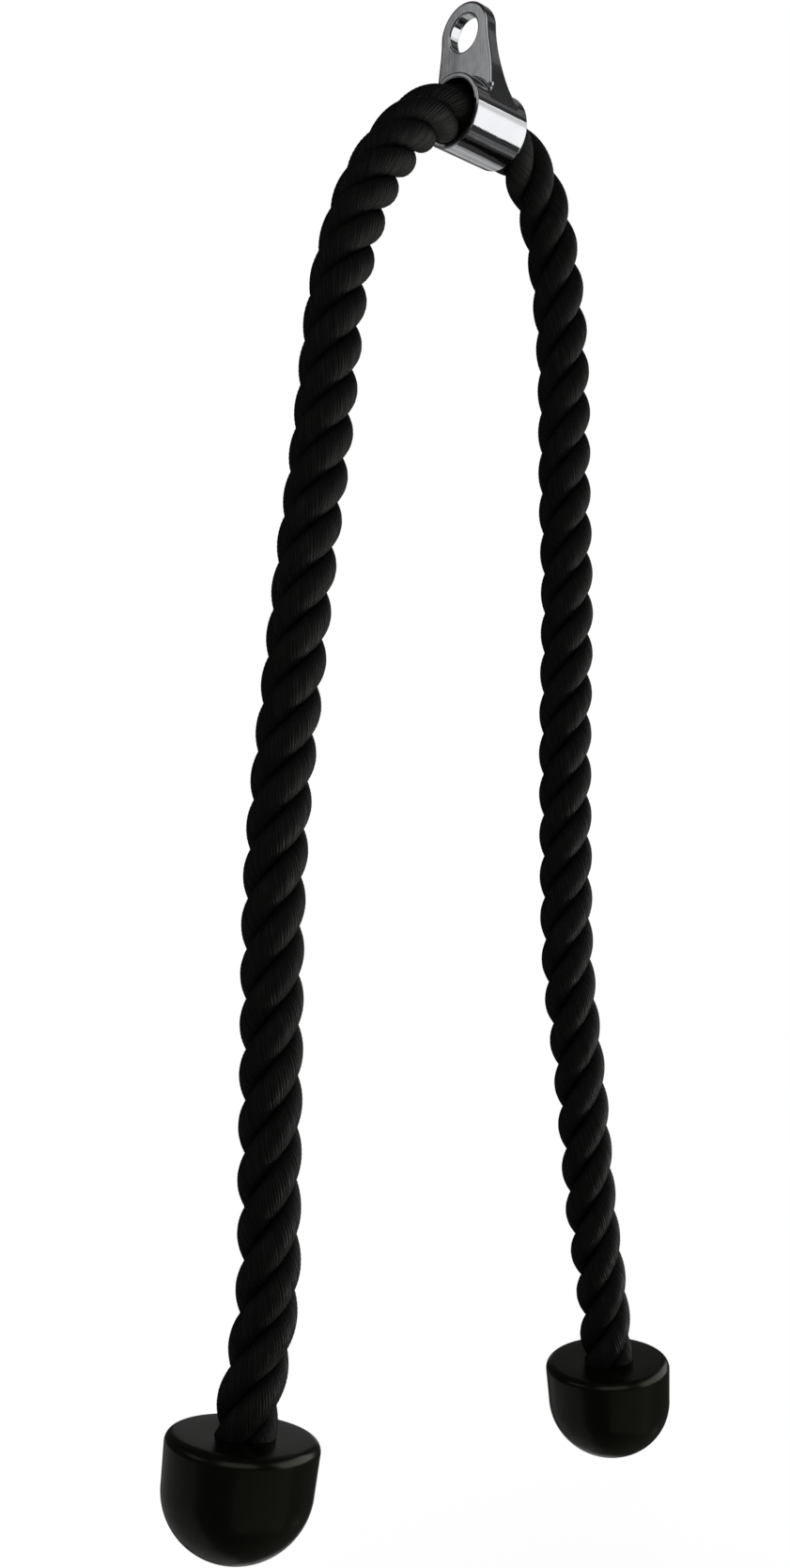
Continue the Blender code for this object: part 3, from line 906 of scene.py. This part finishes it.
    def path_mesh(self, name: str, start: float, end: float) -> bpy.types.Mesh:
        """The path of one stretch as a line of edges, with the strands' turns at each point.

        Args:
            name: The mesh's name.
            start: The stretch's first length along the rope.
            end: Its last.

        Returns:
            The mesh, which runs beyond both ends by the margin.
        """
        low, high = start - self.path_margin, end + self.path_margin
        lengths = np.linspace(low, high, round((high - low) / self.path_step) + 1)
        mesh = bpy.data.meshes.new(name)
        edges = [(i, i + 1) for i in range(len(lengths) - 1)]
        mesh.from_pydata(self.line.at(lengths).tolist(), edges, [])
        places, turns = np.array(self.LAY).T
        layer = mesh.attributes.new(self.TURNS, "FLOAT", "POINT")
        layer.data.foreach_set("value", spline_through(places, turns, lengths))
        return mesh

    def stretch(self, name: str, start: float, end: float) -> bpy.types.Object:
        """Makes one stretch of the rope, closed at both ends.

        Args:
            name: The piece's name.
            start: Its first length along the rope, lower than its last.
            end: Its last length.

        Returns:
            The piece.
        """
        rings = max(round((end - start) / self.ring_step), 1)
        step = (end - start) / rings
        obj = placed(name, self.path_mesh(name, start, end))
        modifier = obj.modifiers.new("laid_rope", "NODES")
        modifier.node_group = self.tree
        values = {
            "Length": end - start,
            "Overrun": step * self.overrun_rings,
            "Rings": rings + 2 * self.overrun_rings,
            "Start": start,
            "Material": self.material,
        }
        for item in self.tree.interface.items_tree:
            if item.name in values:
                modifier[item.identifier] = values[item.name]
        evaluated = obj.evaluated_get(bpy.context.evaluated_depsgraph_get())
        made = bpy.data.meshes.new_from_object(evaluated)
        obj.modifiers.remove(modifier)
        obj.data = made
        self.close_ends(made)
        return obj

    def close_ends(self, mesh: bpy.types.Mesh) -> None:
        """Closes the strands' ends, and keeps the normals that the rope has where it runs on.

        Args:
            mesh: The mesh of a stretch, open at its strands' ends.
        """
        work = bmesh.new()
        work.from_mesh(mesh)
        open_edges = [edge for edge in work.edges if edge.is_boundary]
        bmesh.ops.holes_fill(work, edges=open_edges, sides=0)
        bmesh.ops.recalc_face_normals(work, faces=work.faces)
        work.to_mesh(mesh)
        work.free()

        # A face with more than four corners is a closed end, which stays flat
        loops, polygons = len(mesh.loops), len(mesh.polygons)
        corner_vertex, sizes = np.empty(loops, np.int32), np.empty(polygons, np.int32)
        mesh.loops.foreach_get("vertex_index", corner_vertex)
        mesh.polygons.foreach_get("loop_total", sizes)
        flat = np.empty(polygons * 3, np.float32)
        mesh.polygons.foreach_get("normal", flat)
        true = np.empty(len(mesh.vertices) * 3, np.float32)
        mesh.attributes[self.TRUE_NORMAL].data.foreach_get("vector", true)
        face_of_corner = np.repeat(np.arange(polygons), sizes)
        is_end = (sizes > self.QUAD)[face_of_corner]
        normals = true.reshape(-1, 3)[corner_vertex]
        normals[is_end] = flat.reshape(-1, 3)[face_of_corner[is_end]]
        mesh.polygons.foreach_set("use_smooth", sizes <= self.QUAD)
        for name in (self.TRUE_NORMAL, self.PAST_END, self.TURNS):
            if name in mesh.attributes:
                mesh.attributes.remove(mesh.attributes[name])
        mesh.normals_split_custom_set(normals)

    def cord_path(self, start: float, end: float) -> list[Place]:
        """The points that a stretch follows, at even lengths along it."""
        return [tuple(p) for p in self.line.at(np.linspace(start, end, self.cord_points)).tolist()]


@dataclass
class RopeLeg:
    """One half of the rope, made in three stretches."""

    rope: LaidRope
    side: Side
    mouth_blend: tuple[float, float] = (0.0145, 0.0425)
    throat_end: float = 0.045
    arch_blend: tuple[float, float] = (0.047, 0.125)
    upper_end: float = 0.213
    flex_blend: tuple[float, float] = (0.300, 0.346)

    def made(self, name: str, near: float, far: float) -> bpy.types.Object:
        """Makes a stretch of this leg.

        Args:
            name: The last word of the piece's name.
            near: The length from the middle of the tube at which it starts.
            far: The one at which it ends.

        Returns:
            The piece.
        """
        low, high = sorted((self.side.value * near, self.side.value * far))
        piece = self.rope.stretch(f"{self.side.prefix}_rope_{name}", low, high)
        LOG.info("%s: %.3f m of rope, %d faces", piece.name, high - low, len(piece.data.polygons))
        return piece

    def bend(self, piece: bpy.types.Object, zone: tuple[float, float]) -> None:
        """Bakes a stretch's place into its mesh, and works out the points at both ends of its bend zone,
        which go unused.

        Args:
            piece: The stretch.
            zone: The lengths from the tube at both ends of its bend zone.
        """
        start, end = (self.rope.line.point(self.side.value * length) for length in zone)
        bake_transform(piece)

    def build(self) -> None:
        prefix, sign = self.side.prefix, self.side.value
        cap_end = self.rope.line.tail(self.side) + self.rope.inside_cap
        throat = self.made("throat", 0, self.throat_end)
        upper = self.made("upper", self.throat_end, self.upper_end)
        lower = self.made("lower", self.upper_end, cap_end)
        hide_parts(f"{prefix}_mouth_bend", *(["rope_centre"] if self.side is Side.LEFT else []))
        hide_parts(f"{prefix}_arch_bend", f"{prefix}_upper_leg")
        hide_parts(f"{prefix}_flex_bend", f"{prefix}_lower_leg")
        self.bend(throat, self.mouth_blend)
        self.bend(upper, self.arch_blend)
        self.bend(lower, self.flex_blend)
        for piece, near, far, others in (
            (upper, self.throat_end, self.upper_end, [throat]),
            (lower, self.upper_end, cap_end, []),
        ):
            self.rope.line.point(sign * near)
            self.rope.cord_path(sign * near, sign * far)


# The bracket


def round_union(one: np.ndarray, other: np.ndarray, radius: float) -> np.ndarray:
    """The distance to two forms joined with a hollow fillet.

    Args:
        one: The distance to the first form, negative inside.
        other: The distance to the second.
        radius: The fillet's radius.

    Returns:
        The distance to both together.
    """
    inside = np.hypot(np.maximum(radius - one, 0), np.maximum(radius - other, 0))
    return np.maximum(radius, np.minimum(one, other)) - inside


def round_cut(one: np.ndarray, other: np.ndarray, radius: float) -> np.ndarray:
    """The distance to what two forms share, with a rounded edge.

    Args:
        one: The distance to the first form, negative inside.
        other: The distance to the second.
        radius: The edge's radius.

    Returns:
        The distance to the shared part.
    """
    outside = np.hypot(np.maximum(radius + one, 0), np.maximum(radius + other, 0))
    return np.minimum(-radius, np.maximum(one, other)) + outside


def surface_net(field: np.ndarray) -> tuple[np.ndarray, np.ndarray]:
    """Quads round the region where a field on a grid is negative.

    Args:
        field: The field's values at the grid's corners.

    Returns:
        The grid place of each vertex and the four vertices of each quad.
    """
    inside = field < 0
    size = np.array(field.shape) - 1
    offsets = list(itertools.product((0, 1), repeat=3))
    corners = sum(
        inside[i : size[0] + i, j : size[1] + j, k : size[2] + k].astype(np.int8) for i, j, k in offsets
    )
    mixed = (corners > 0) & (corners < len(offsets))
    index = np.full(mixed.shape, -1)
    index[mixed] = np.arange(mixed.sum())
    quads = []
    for axis in range(3):
        one, two = (axis + 1) % 3, (axis + 2) % 3
        low = np.take(inside, range(size[axis]), axis)
        high = np.take(inside, range(1, size[axis] + 1), axis)
        crossing = low != high
        edges = np.argwhere(crossing)
        ring = []
        for step_one, step_two in ((-1, -1), (0, -1), (0, 0), (-1, 0)):
            cell = edges.copy()
            cell[:, one] += step_one
            cell[:, two] += step_two
            ring.append(index[tuple(cell.T)])
        quad = np.stack(ring, 1)
        outward = low[crossing]
        quad[~outward] = quad[~outward][:, ::-1]
        quads.append(quad)
    return np.argwhere(mixed) + 1 / 2, np.concatenate(quads)


@dataclass
class EyeBracket:
    """The tube and the tongue with its eye, cast in one and polished."""

    material: bpy.types.Material
    eye_height: float = 0.0392
    tube_shift: float = 0.0048
    hole_radius: float = 0.0085
    ring_width: float = 0.0058
    half_thickness: float = 0.0035
    near_edge: float = 0.0013
    far_edge: float = 0.0008
    near_hole_edge: float = 0.0008
    far_hole_edge: float = 0.0020
    flank: float = 0.0167
    flare_foot: float = 0.016
    flare_pulls: tuple[float, float] = (0.008, 0.009)
    flare_steps: int = 400
    tongue_foot: float = 0.001
    near_saddle_radius: float = 0.0030
    far_saddle_radius: float = 0.0159
    near_step: float = 0.0022
    face_foot: float = 0.0169
    face_corner: float = 0.0033
    saddle_sink: float = 0.0001
    tube_radius: float = 0.017
    bore_radius: float = 0.0142
    tube_length: float = 0.035
    rim_rounding: float = 0.0007
    mouth_rounding: float = 0.0008
    cell: float = 0.00037
    margin_cells: int = 3
    settle_steps: int = 6
    least_slope: float = 0.5
    nudge: float = 0.00001
    polish: float = 0.00012

    def __post_init__(self) -> None:
        """Works out the flank's half width and its slope by height above the tube's axis."""
        self.eye_radius = self.hole_radius + self.ring_width
        share = np.linspace(0, 1, self.flare_steps)
        rest = 1 - share
        weights = np.array([rest**3, 3 * share * rest**2, 3 * share**2 * rest, share**3])
        upper_pull, lower_pull = self.flare_pulls
        corners = np.array([
            (self.flank, self.flare_foot),
            (self.flank, self.flare_foot + lower_pull),
            (self.eye_radius, self.eye_height - upper_pull),
            (self.eye_radius, self.eye_height),
        ])
        self.flare_width, self.flare_height = corners.T @ weights
        self.flare_slope = np.gradient(self.flare_width, self.flare_height)

    def outline(self, y: np.ndarray, z: np.ndarray) -> np.ndarray:
        """How far points are outside the tongue's outline, or inside it as a negative.

        Args:
            y: The points' places across the tube.
            z: Their heights above the tube's axis.

        Returns:
            One distance for each point.
        """
        ring = np.hypot(y, z - self.eye_height) - self.eye_radius
        width = np.interp(z, self.flare_height, self.flare_width)
        lean = np.interp(z, self.flare_height, self.flare_slope)
        flank = (np.abs(y) - width) / np.sqrt(1 + lean**2)
        return np.maximum(np.where(z > self.eye_height, ring, flank), self.tongue_foot - z)

    def field(self, points: np.ndarray) -> np.ndarray:
        """The distance to the bracket's surface, negative in the steel.

        Args:
            points: Points in the frame of the part.

        Returns:
            One distance for each point.
        """
        x, y, z = points[:, 0], points[:, 1], points[:, 2] + self.eye_height
        along = np.abs(x - self.tube_shift) - self.tube_length / 2
        tube = np.hypot(y, z) - self.tube_radius

        # The tongue's foot, which spreads over the tube with a different hollow on each side
        hollow = np.where(x < 0, self.near_saddle_radius, self.far_saddle_radius)
        outline = self.outline(y, z)
        core = np.maximum(x - self.half_thickness, -x - self.near_step)
        saddle = round_cut(round_union(core, tube + self.saddle_sink, hollow), outline, self.far_edge)

        # The tongue, whose near face ends in a step above the tube, and the eye through it
        face = round_cut(outline, self.face_foot - self.tube_radius - tube, self.face_corner)
        edge = np.where(x < 0, self.near_edge, self.far_edge)
        tongue = np.minimum(saddle, round_cut(np.abs(x) - self.half_thickness, face, edge))
        brim = np.where(x < 0, self.near_hole_edge, self.far_hole_edge)
        tongue = round_cut(tongue, self.hole_radius - np.hypot(y, points[:, 2]), brim)

        # Both together with the tube, cut off at its ends and bored
        body = round_cut(np.minimum(tongue, tube), along, self.rim_rounding)
        return round_cut(body, self.bore_radius - self.tube_radius - tube, self.mouth_rounding)

    def slope(self, points: np.ndarray, nudge: float) -> np.ndarray:
        """The field's slope at some points.

        Args:
            points: Points in the frame of the part.
            nudge: How far to either side the field is read.

        Returns:
            One slope for each point.
        """
        ways = np.eye(3) * nudge
        rises = [self.field(points + way) - self.field(points - way) for way in ways]
        return np.stack(rises, -1) / (2 * nudge)

    def build(self) -> None:
        """Makes the bracket's piece in place of its solid."""
        margin = self.margin_cells * self.cell
        reach, end = self.tube_length / 2, self.tube_shift
        low = np.array([end - reach, -self.tube_radius, -self.eye_height - self.tube_radius]) - margin
        high = np.array([end + reach, self.tube_radius, self.eye_radius]) + margin
        counts = np.ceil((high - low) / self.cell).astype(int)
        axes = [low[k] + self.cell * np.arange(counts[k] + 1) for k in range(3)]
        grid = np.stack(np.meshgrid(*axes, indexing="ij"), -1)
        field = self.field(grid.reshape(-1, 3)).reshape(grid.shape[:3])
        places, quads = surface_net(field)
        points = low + places * self.cell

        # The points settle from the grid's steps onto the smooth surface
        for _ in range(self.settle_steps):
            slope = self.slope(points, self.nudge)
            step = self.field(points) / np.maximum((slope**2).sum(1), self.least_slope**2)
            points = points - np.clip(step, -self.cell / 2, self.cell / 2)[:, None] * slope

        normals = self.slope(points, self.polish)
        normals /= np.linalg.norm(normals, axis=1)[:, None]
        mesh = bpy.data.meshes.new("eye_bracket_polished")
        mesh.from_pydata(points.tolist(), [], quads.tolist())
        mesh.materials.append(self.material)
        mesh.shade_smooth()
        mesh.normals_split_custom_set_from_vertices(normals.tolist())
        piece = placed("eye_bracket_polished", mesh)
        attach(piece, "bracket")
        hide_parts("eye_bracket")
        LOG.info("%s: %d faces", piece.name, len(mesh.polygons))


# The caps and what holds them


def arc(
    centre: tuple[float, float], radius: float, start: float, end: float, steps: int
) -> list[tuple[float, float]]:
    """Points of an arc.

    Args:
        centre: Its centre.
        radius: Its radius.
        start: Its first angle in degrees.
        end: Its last angle.
        steps: How many steps it takes.

    Returns:
        The points, both ends included.
    """
    angles = np.radians(np.linspace(start, end, steps + 1))
    return [(centre[0] + radius * math.cos(a), centre[1] + radius * math.sin(a)) for a in angles]


@dataclass
class EndCap:
    """One moulded cap: flat on top with a rounded edge, domed below, and hollow round the fastening."""

    line: RopeLine
    side: Side
    material: bpy.types.Material
    radius: float = 0.0309
    waist_radius: float = 0.0302
    side_height: float = 0.0187
    dome_height: float = 0.0276
    edge_rounding: float = 0.0042
    top_lift: float = 0.001
    top_wall: float = 0.007
    neck_radius: float = 0.0102
    neck_rounding: float = 0.0012
    washer_room: float = 0.0208
    sleeve_room: float = 0.0158
    washer_floor: float = -0.0101
    pocket_floor: float = -0.0393
    pocket_rounding: float = 0.004
    sharp_angle: float = 40.0
    segments: int = 144
    arc_steps: int = 12
    dome_steps: int = 32

    def profile(self) -> list[tuple[float, float]]:
        """The cap's outline from the bottom of its dome up to the neck and down into the pocket.

        Returns:
            Points as (radius, height), with the middle of the top at height 0.
        """
        angles = np.radians(np.linspace(0, 90, self.dome_steps + 1))
        bottom = self.side_height + self.dome_height
        dome = [
            (self.waist_radius * math.sin(a), -self.side_height - self.dome_height * math.cos(a))
            for a in angles[1:]
        ]
        edge_centre = self.radius - self.edge_rounding, self.top_lift - self.edge_rounding
        neck_centre = self.neck_radius + self.neck_rounding, self.top_lift - self.neck_rounding
        floor_centre = self.sleeve_room - self.pocket_rounding, self.pocket_floor + self.pocket_rounding
        seat = [
            (self.neck_radius, -self.top_wall),
            (self.washer_room, -self.top_wall),
            (self.washer_room, self.washer_floor),
            (self.sleeve_room, self.washer_floor),
        ]
        return [
            (0, -bottom),
            *dome,
            *arc(edge_centre, self.edge_rounding, 0, 90, self.arc_steps),
            *arc(neck_centre, self.neck_rounding, 90, 180, self.arc_steps),
            *seat,
            *arc(floor_centre, self.pocket_rounding, 0, -90, self.arc_steps),
            (0, self.pocket_floor),
        ]

    def build(self) -> None:
        """Makes the cap's piece in place of its solid."""
        work = bmesh.new()
        rings = []
        for radius, height in self.profile():
            count = self.segments if radius > 0 else 1
            turn = [TURN * i / count for i in range(count)]
            rings.append([work.verts.new((radius * math.cos(a), radius * math.sin(a), height)) for a in turn])
        for one, other in zip(rings, rings[1:]):
            for i in range(self.segments):
                j = (i + 1) % self.segments
                corners = [one[i % len(one)], one[j % len(one)], other[j % len(other)], other[i % len(other)]]
                work.faces.new(list(dict.fromkeys(corners)))
        bmesh.ops.recalc_face_normals(work, faces=work.faces)
        name = f"{self.side.prefix}_cap_moulding"
        mesh = bpy.data.meshes.new(name)
        work.to_mesh(mesh)
        work.free()
        mesh.shade_smooth()
        mesh.set_sharp_from_angle(angle=math.radians(self.sharp_angle))
        top = self.line.point(self.side.value * self.line.tail(self.side))
        lean = math.radians(self.line.LEANS[self.side])
        mesh.transform(Matrix.Translation(top) @ Matrix.Rotation(lean, 4, "Y"))
        mesh.materials.append(self.material)
        piece = placed(name, mesh)
        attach(piece, f"{self.side.prefix}_end")
        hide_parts(f"{self.side.prefix}_end_cap")
        LOG.info("%s: %d faces", name, len(mesh.polygons))


@dataclass
class Fastening:
    """The washer, the crimped sleeve and the tape in one cap, which keep their solids."""

    side: Side
    steel: bpy.types.Material
    tape: bpy.types.Material

    def dress(self) -> None:
        """Gives the three solids their finishes."""
        finishes = {"washer": self.steel, "crimp_sleeve": self.steel, "end_tape": self.tape}
        for name, finish in finishes.items():
            node = frame["nodes"][f"{self.side.prefix}_{name}"]
            for slot in node.material_slots:
                slot.material = finish
            LOG.info("%s: %s", node.name, finish.name)


# The studio


@dataclass(frozen=True)
class Viewpoint:
    """The camera at the photograph's place, as its fit gave it."""

    location: Place = (-0.5227, -0.4635, -0.3616)
    heading: float = 44.36
    pitch: float = 1.18
    focal_pixels: float = 1617.7
    picture_height: float = 1669.0
    sensor: float = 36.0
    clip: tuple[float, float] = (0.01, 100.0)

    def build(self) -> None:
        """Makes the camera and looks through it."""
        heading, pitch = math.radians(self.heading), math.radians(self.pitch)
        right = Vector((math.sin(heading), -math.cos(heading), 0))
        level = Vector((math.cos(heading), math.sin(heading), 0))
        ahead = level * math.cos(pitch) + Vector((0, 0, math.sin(pitch)))
        data = bpy.data.cameras.new("viewpoint")
        data.sensor_width = self.sensor
        data.lens = self.focal_pixels * self.sensor / self.picture_height
        data.clip_start, data.clip_end = self.clip
        camera = placed("viewpoint", data)
        turn = Matrix((right, right.cross(ahead), -ahead)).transposed()
        camera.matrix_world = Matrix.Translation(self.location) @ turn.to_4x4()
        bpy.context.scene.camera = camera


@dataclass(frozen=True)
class Lamp:
    """One soft lamp: a lit rectangle that lights everything, or only the pieces of a collection."""

    name: str
    location: Place
    target: Place
    size: tuple[float, float]
    radiance: float
    only: bpy.types.Collection | None = None

    def build(self) -> None:
        """Makes the lamp, which only the pieces that it is for mirror, and which isn't seen itself."""
        data = bpy.data.lights.new(self.name, "AREA")
        data.shape = "RECTANGLE"
        data.size, data.size_y = self.size
        data.energy = self.radiance * math.pi * self.size[0] * self.size[1]
        lamp = placed(self.name, data)
        lamp.location = self.location
        ahead = Vector(self.target) - Vector(self.location)
        lamp.rotation_euler = ahead.to_track_quat("-Z", "Y").to_euler()
        lamp.visible_camera = False
        lamp.visible_glossy = self.only is not None
        lamp.light_linking.receiver_collection = self.only


@dataclass(frozen=True)
class Glow:
    """A soft window of light on the tent, by the directions in which the bracket sees it, in degrees."""

    azimuth: float
    half_width: float
    low: float
    high: float
    soft: float
    strength: float
    lift_soft: float = 6.0

    def mask(self, graph: Graph, way: Feed) -> bpy.types.NodeSocket:
        """The window's light in a direction.

        Args:
            graph: The tent's material.
            way: The direction from the bracket, of length 1.

        Returns:
            The light, from 0 to the window's strength.
        """
        angles = self.azimuth, self.half_width, self.soft, self.lift_soft, self.low, self.high
        turn, edge, soft, lift_soft, low, high = (math.radians(angle) for angle in angles)
        level = graph.vector("NORMALIZE", graph.vector("MULTIPLY", way, (1.0, 1.0, 0.0)))
        near = graph.measure("DOT_PRODUCT", level, (math.cos(turn), math.sin(turn), 0.0))
        lift = graph.height(way)
        across = graph.ramp(near, math.cos(edge + soft), math.cos(edge))
        above = graph.ramp(lift, math.sin(low - lift_soft), math.sin(low))
        below = graph.ramp(lift, math.sin(high + lift_soft), math.sin(high))
        return graph.times(across, above, below, self.strength)


@dataclass
class Studio:
    """A white studio with a pale floor, soft lamps and a dim tent that only gloss and chrome mirror."""

    rope: bpy.types.Collection
    floor_gap: float = 0.060
    floor_half: float = 1.6
    floor_shade: float = 0.60
    floor_lift: float = 0.76
    floor_fade: tuple[float, float] = (0.6, 1.52)
    ambient: float = 0.40
    panel_centre: tuple[float, float] = (0.80, -0.70)
    panel_heights: tuple[float, float] = (-0.63, 0.44)
    panel_half: float = 0.75
    panel_light: float = 1.25
    panel_dim: float = 0.80
    panel_fade: tuple[float, float] = (0.10, 0.28)
    panel_line: float = 1.3
    line_rise: tuple[float, float] = (0.36, 0.40)
    line_end: tuple[float, float] = (-0.012, 0.03)
    tent_half: float = 8.0
    tent_dark: float = 0.035
    fold_scale: float = 13.0
    fold_detail: float = 3.0
    fold_contrast: tuple[float, float] = (0.3, 0.7)
    fold_range: tuple[float, float] = (0.5, 1.6)
    glows: tuple[Glow, ...] = (
        Glow(154, 6, 22, 32, 16, 0.43),
        Glow(43, 8, -52, -5, 6, 0.40),
        Glow(46, 12, 2, 20, 8, 0.11),
        Glow(228, 24, 18, 52, 10, 0.55),
        Glow(30, 18, 32, 48, 10, 0.12),
        Glow(-30, 10, 34, 42, 8, 0.09),
        Glow(-20, 8, -44, -40, 3, 0.14, 3),
        Glow(-2, 9, 6, 28, 5, 1.0),
        Glow(265, 40, -46, -14, 8, 0.13, 8),
        Glow(120, 42, -65, -14, 10, 0.16, 8),
        Glow(95, 35, -75, -50, 12, 0.17, 10),
    )

    def staged(
        self,
        name: str,
        points: list[Place],
        faces: list[tuple[int, ...]],
        material: bpy.types.Material,
        hidden_from: tuple[str, ...],
    ) -> None:
        """Makes a plain form and marks it as stage.

        Args:
            name: Its name.
            points: Its corners.
            faces: Its faces, by their corners' numbers.
            material: Its material.
            hidden_from: The kinds of rays that pass it by.
        """
        mesh = bpy.data.meshes.new(name)
        mesh.from_pydata(points, [], faces)
        mesh.materials.append(material)
        made = placed(name, mesh)
        for kind in hidden_from:
            setattr(made, f"visible_{kind}", False)

    def floor_material(self) -> bpy.types.Material:
        """A pale floor that fades into the white round it and keeps the shadow.

        Returns:
            The material.
        """
        made = bpy.data.materials.new("pale_floor")
        graph = bare_graph(made)
        shade = graph.out("ShaderNodeBsdfDiffuse", {"Color": (self.floor_shade,) * 3 + (1,)})
        glow = graph.out("ShaderNodeEmission", {"Strength": self.floor_lift})
        both = graph.out("ShaderNodeAddShader", {0: shade, 1: glow})
        floor = graph.out("ShaderNodeMixShader", {0: graph.direct_rays(), 1: shade, 2: both})
        level = graph.vector("MULTIPLY", graph.object_place(), (1.0, 1.0, 0.0))
        fade = graph.ramp(graph.measure("LENGTH", level), *self.floor_fade)
        clear = graph.out("ShaderNodeBsdfTransparent")
        done = graph.out("ShaderNodeMixShader", {0: fade, 1: floor, 2: clear})
        graph.node("ShaderNodeOutputMaterial", {"Surface": done})
        return made

    def glowing(self, name: str, light_of: Callable[[Graph], Feed]) -> bpy.types.Material:
        """A cloth that only glows.

        Args:
            name: Its name.
            light_of: Makes its light in its graph.

        Returns:
            The material.
        """
        made = bpy.data.materials.new(name)
        graph = bare_graph(made)
        cloth = graph.out("ShaderNodeEmission", {"Strength": light_of(graph)})
        graph.node("ShaderNodeOutputMaterial", {"Surface": cloth})
        return made

    def tent_light(self, graph: Graph) -> Feed:
        """The light of a dim cloth, with the soft patches that the chrome shows.

        Args:
            graph: The cloth's graph.

        Returns:
            The light.
        """
        way = graph.vector("NORMALIZE", graph.object_place())
        folds = graph.noise(way, self.fold_scale, self.fold_detail)
        folds = graph.ramp(folds, *self.fold_contrast, *self.fold_range, "LINEAR")
        light: Feed = self.tent_dark
        for glow in self.glows:
            light = graph.math("MAXIMUM", glow.mask(graph, way), light)
        return graph.times(light, folds)

    @property
    def panel_side(self) -> Vector:
        """The level way along the softbox."""
        x, y = self.panel_centre
        return Vector((-y, x, 0)).normalized()

    def panel_light_at(self, graph: Graph) -> Feed:
        """The light of a softbox's cloth, dimmer towards the top, with a bright line near its upper edge.

        Args:
            graph: The cloth's graph.

        Returns:
            The light.
        """
        place = graph.object_place()
        height, sideways = graph.height(place), graph.measure("DOT_PRODUCT", place, tuple(self.panel_side))
        cloth = graph.ramp(height, *self.panel_fade, self.panel_light, self.panel_dim)
        edge = graph.ramp(height, *self.line_rise)
        near_part = graph.ramp(sideways, *self.line_end, 1.0, 0.0)
        return graph.math("MAXIMUM", cloth, graph.times(edge, near_part, self.panel_line))

    def panel_corners(self) -> list[Place]:
        """Finds the corners of the softbox beside the tube.

        Returns:
            The four corners.
        """
        middle, reach = Vector((*self.panel_centre, 0)), self.panel_side * self.panel_half
        low, high = (Vector((0, 0, height)) for height in self.panel_heights)
        return [tuple(middle + way) for way in (low - reach, low + reach, high + reach, high - reach)]

    def world(self) -> None:
        """White where it is seen or mirrored, and a soft even light on the object."""
        world = bpy.data.worlds.new("white_studio")
        bpy.context.scene.world = world
        graph = bare_graph(world)
        strength = graph.span(graph.direct_rays(), self.ambient, 1.0)
        white = graph.out("ShaderNodeBackground", {"Color": (1, 1, 1, 1), "Strength": strength})
        graph.node("ShaderNodeOutputWorld", {"Surface": white})

    def build(self) -> None:
        """Makes the floor, the tent, the world and the lamps, and sets the plain view transform."""
        square, quad = ((-1, -1), (1, -1), (1, 1), (-1, 1)), (0, 1, 2, 3)
        ground = CAD_BOX[0].z - self.floor_gap
        floor = [(x * self.floor_half, y * self.floor_half, ground) for x, y in square]
        self.staged("floor", floor, [quad], self.floor_material(), ("glossy", "shadow"))
        walls = [tuple(self.tent_half * v for v in (x, y, z)) for z in (-1, 1) for x, y in square]
        sides = [(i, j, j + 4, i + 4) for i, j in ((0, 1), (1, 2), (2, 3), (3, 0))]
        faces = [quad, (4, 5, 6, 7), *sides]
        only_mirrored = ("camera", "diffuse", "shadow", "transmission")
        self.staged("dim_tent", walls, faces, self.glowing("dim_tent", self.tent_light), only_mirrored)
        cloth = self.glowing("softbox_cloth", self.panel_light_at)
        self.staged("softbox", self.panel_corners(), [quad], cloth, only_mirrored)
        self.world()
        lamps = (
            Lamp("floor_bounce", (0.78, -0.36, -1.45), (0.0, 0.0, -0.35), (0.8, 0.8), 30.0),
            Lamp("rope_sheen", (1.15, -0.62, -0.74), (-0.02, 0.0, -0.35), (0.35, 0.5), 12.5, self.rope),
            Lamp("camera_fill", (-1.4, -0.9, 0.0), (0.0, 0.0, -0.3), (1.2, 1.2), 0.5),
        )
        for lamp in lamps:
            lamp.build()
        bpy.context.scene.view_settings.view_transform = "Standard"


def rope_pieces() -> bpy.types.Collection:
    """The stretches of rope as a collection, for the lamp that lights nothing else.

    Returns:
        The collection.
    """
    made = bpy.data.collections.new("rope_pieces")
    for piece in bpy.context.scene.objects:
        if "_rope_" in piece.name:
            made.objects.link(piece)
    return made


def main() -> None:
    """Builds the camera, the rope, the bracket, the caps and the studio in that order."""
    logging.basicConfig(level=logging.INFO, format="%(message)s", force=True)
    Viewpoint().build()
    effects = Effects(grain_group(), streak_group())
    line = RopeLine()
    rope = LaidRope(line, RopeFinish().build(effects))
    for side in Side:
        RopeLeg(rope, side).build()
    EyeBracket(ChromeFinish().build(effects)).build()
    finishes = MouldedFinish(), ZincFinish(), TapeFinish()
    moulding, steel, tape = (finish.build(effects) for finish in finishes)
    for side in Side:
        EndCap(line, side, moulding).build()
        Fastening(side, steel, tape).dress()
    Studio(rope_pieces()).build()


if __name__ == "__main__":
    main()
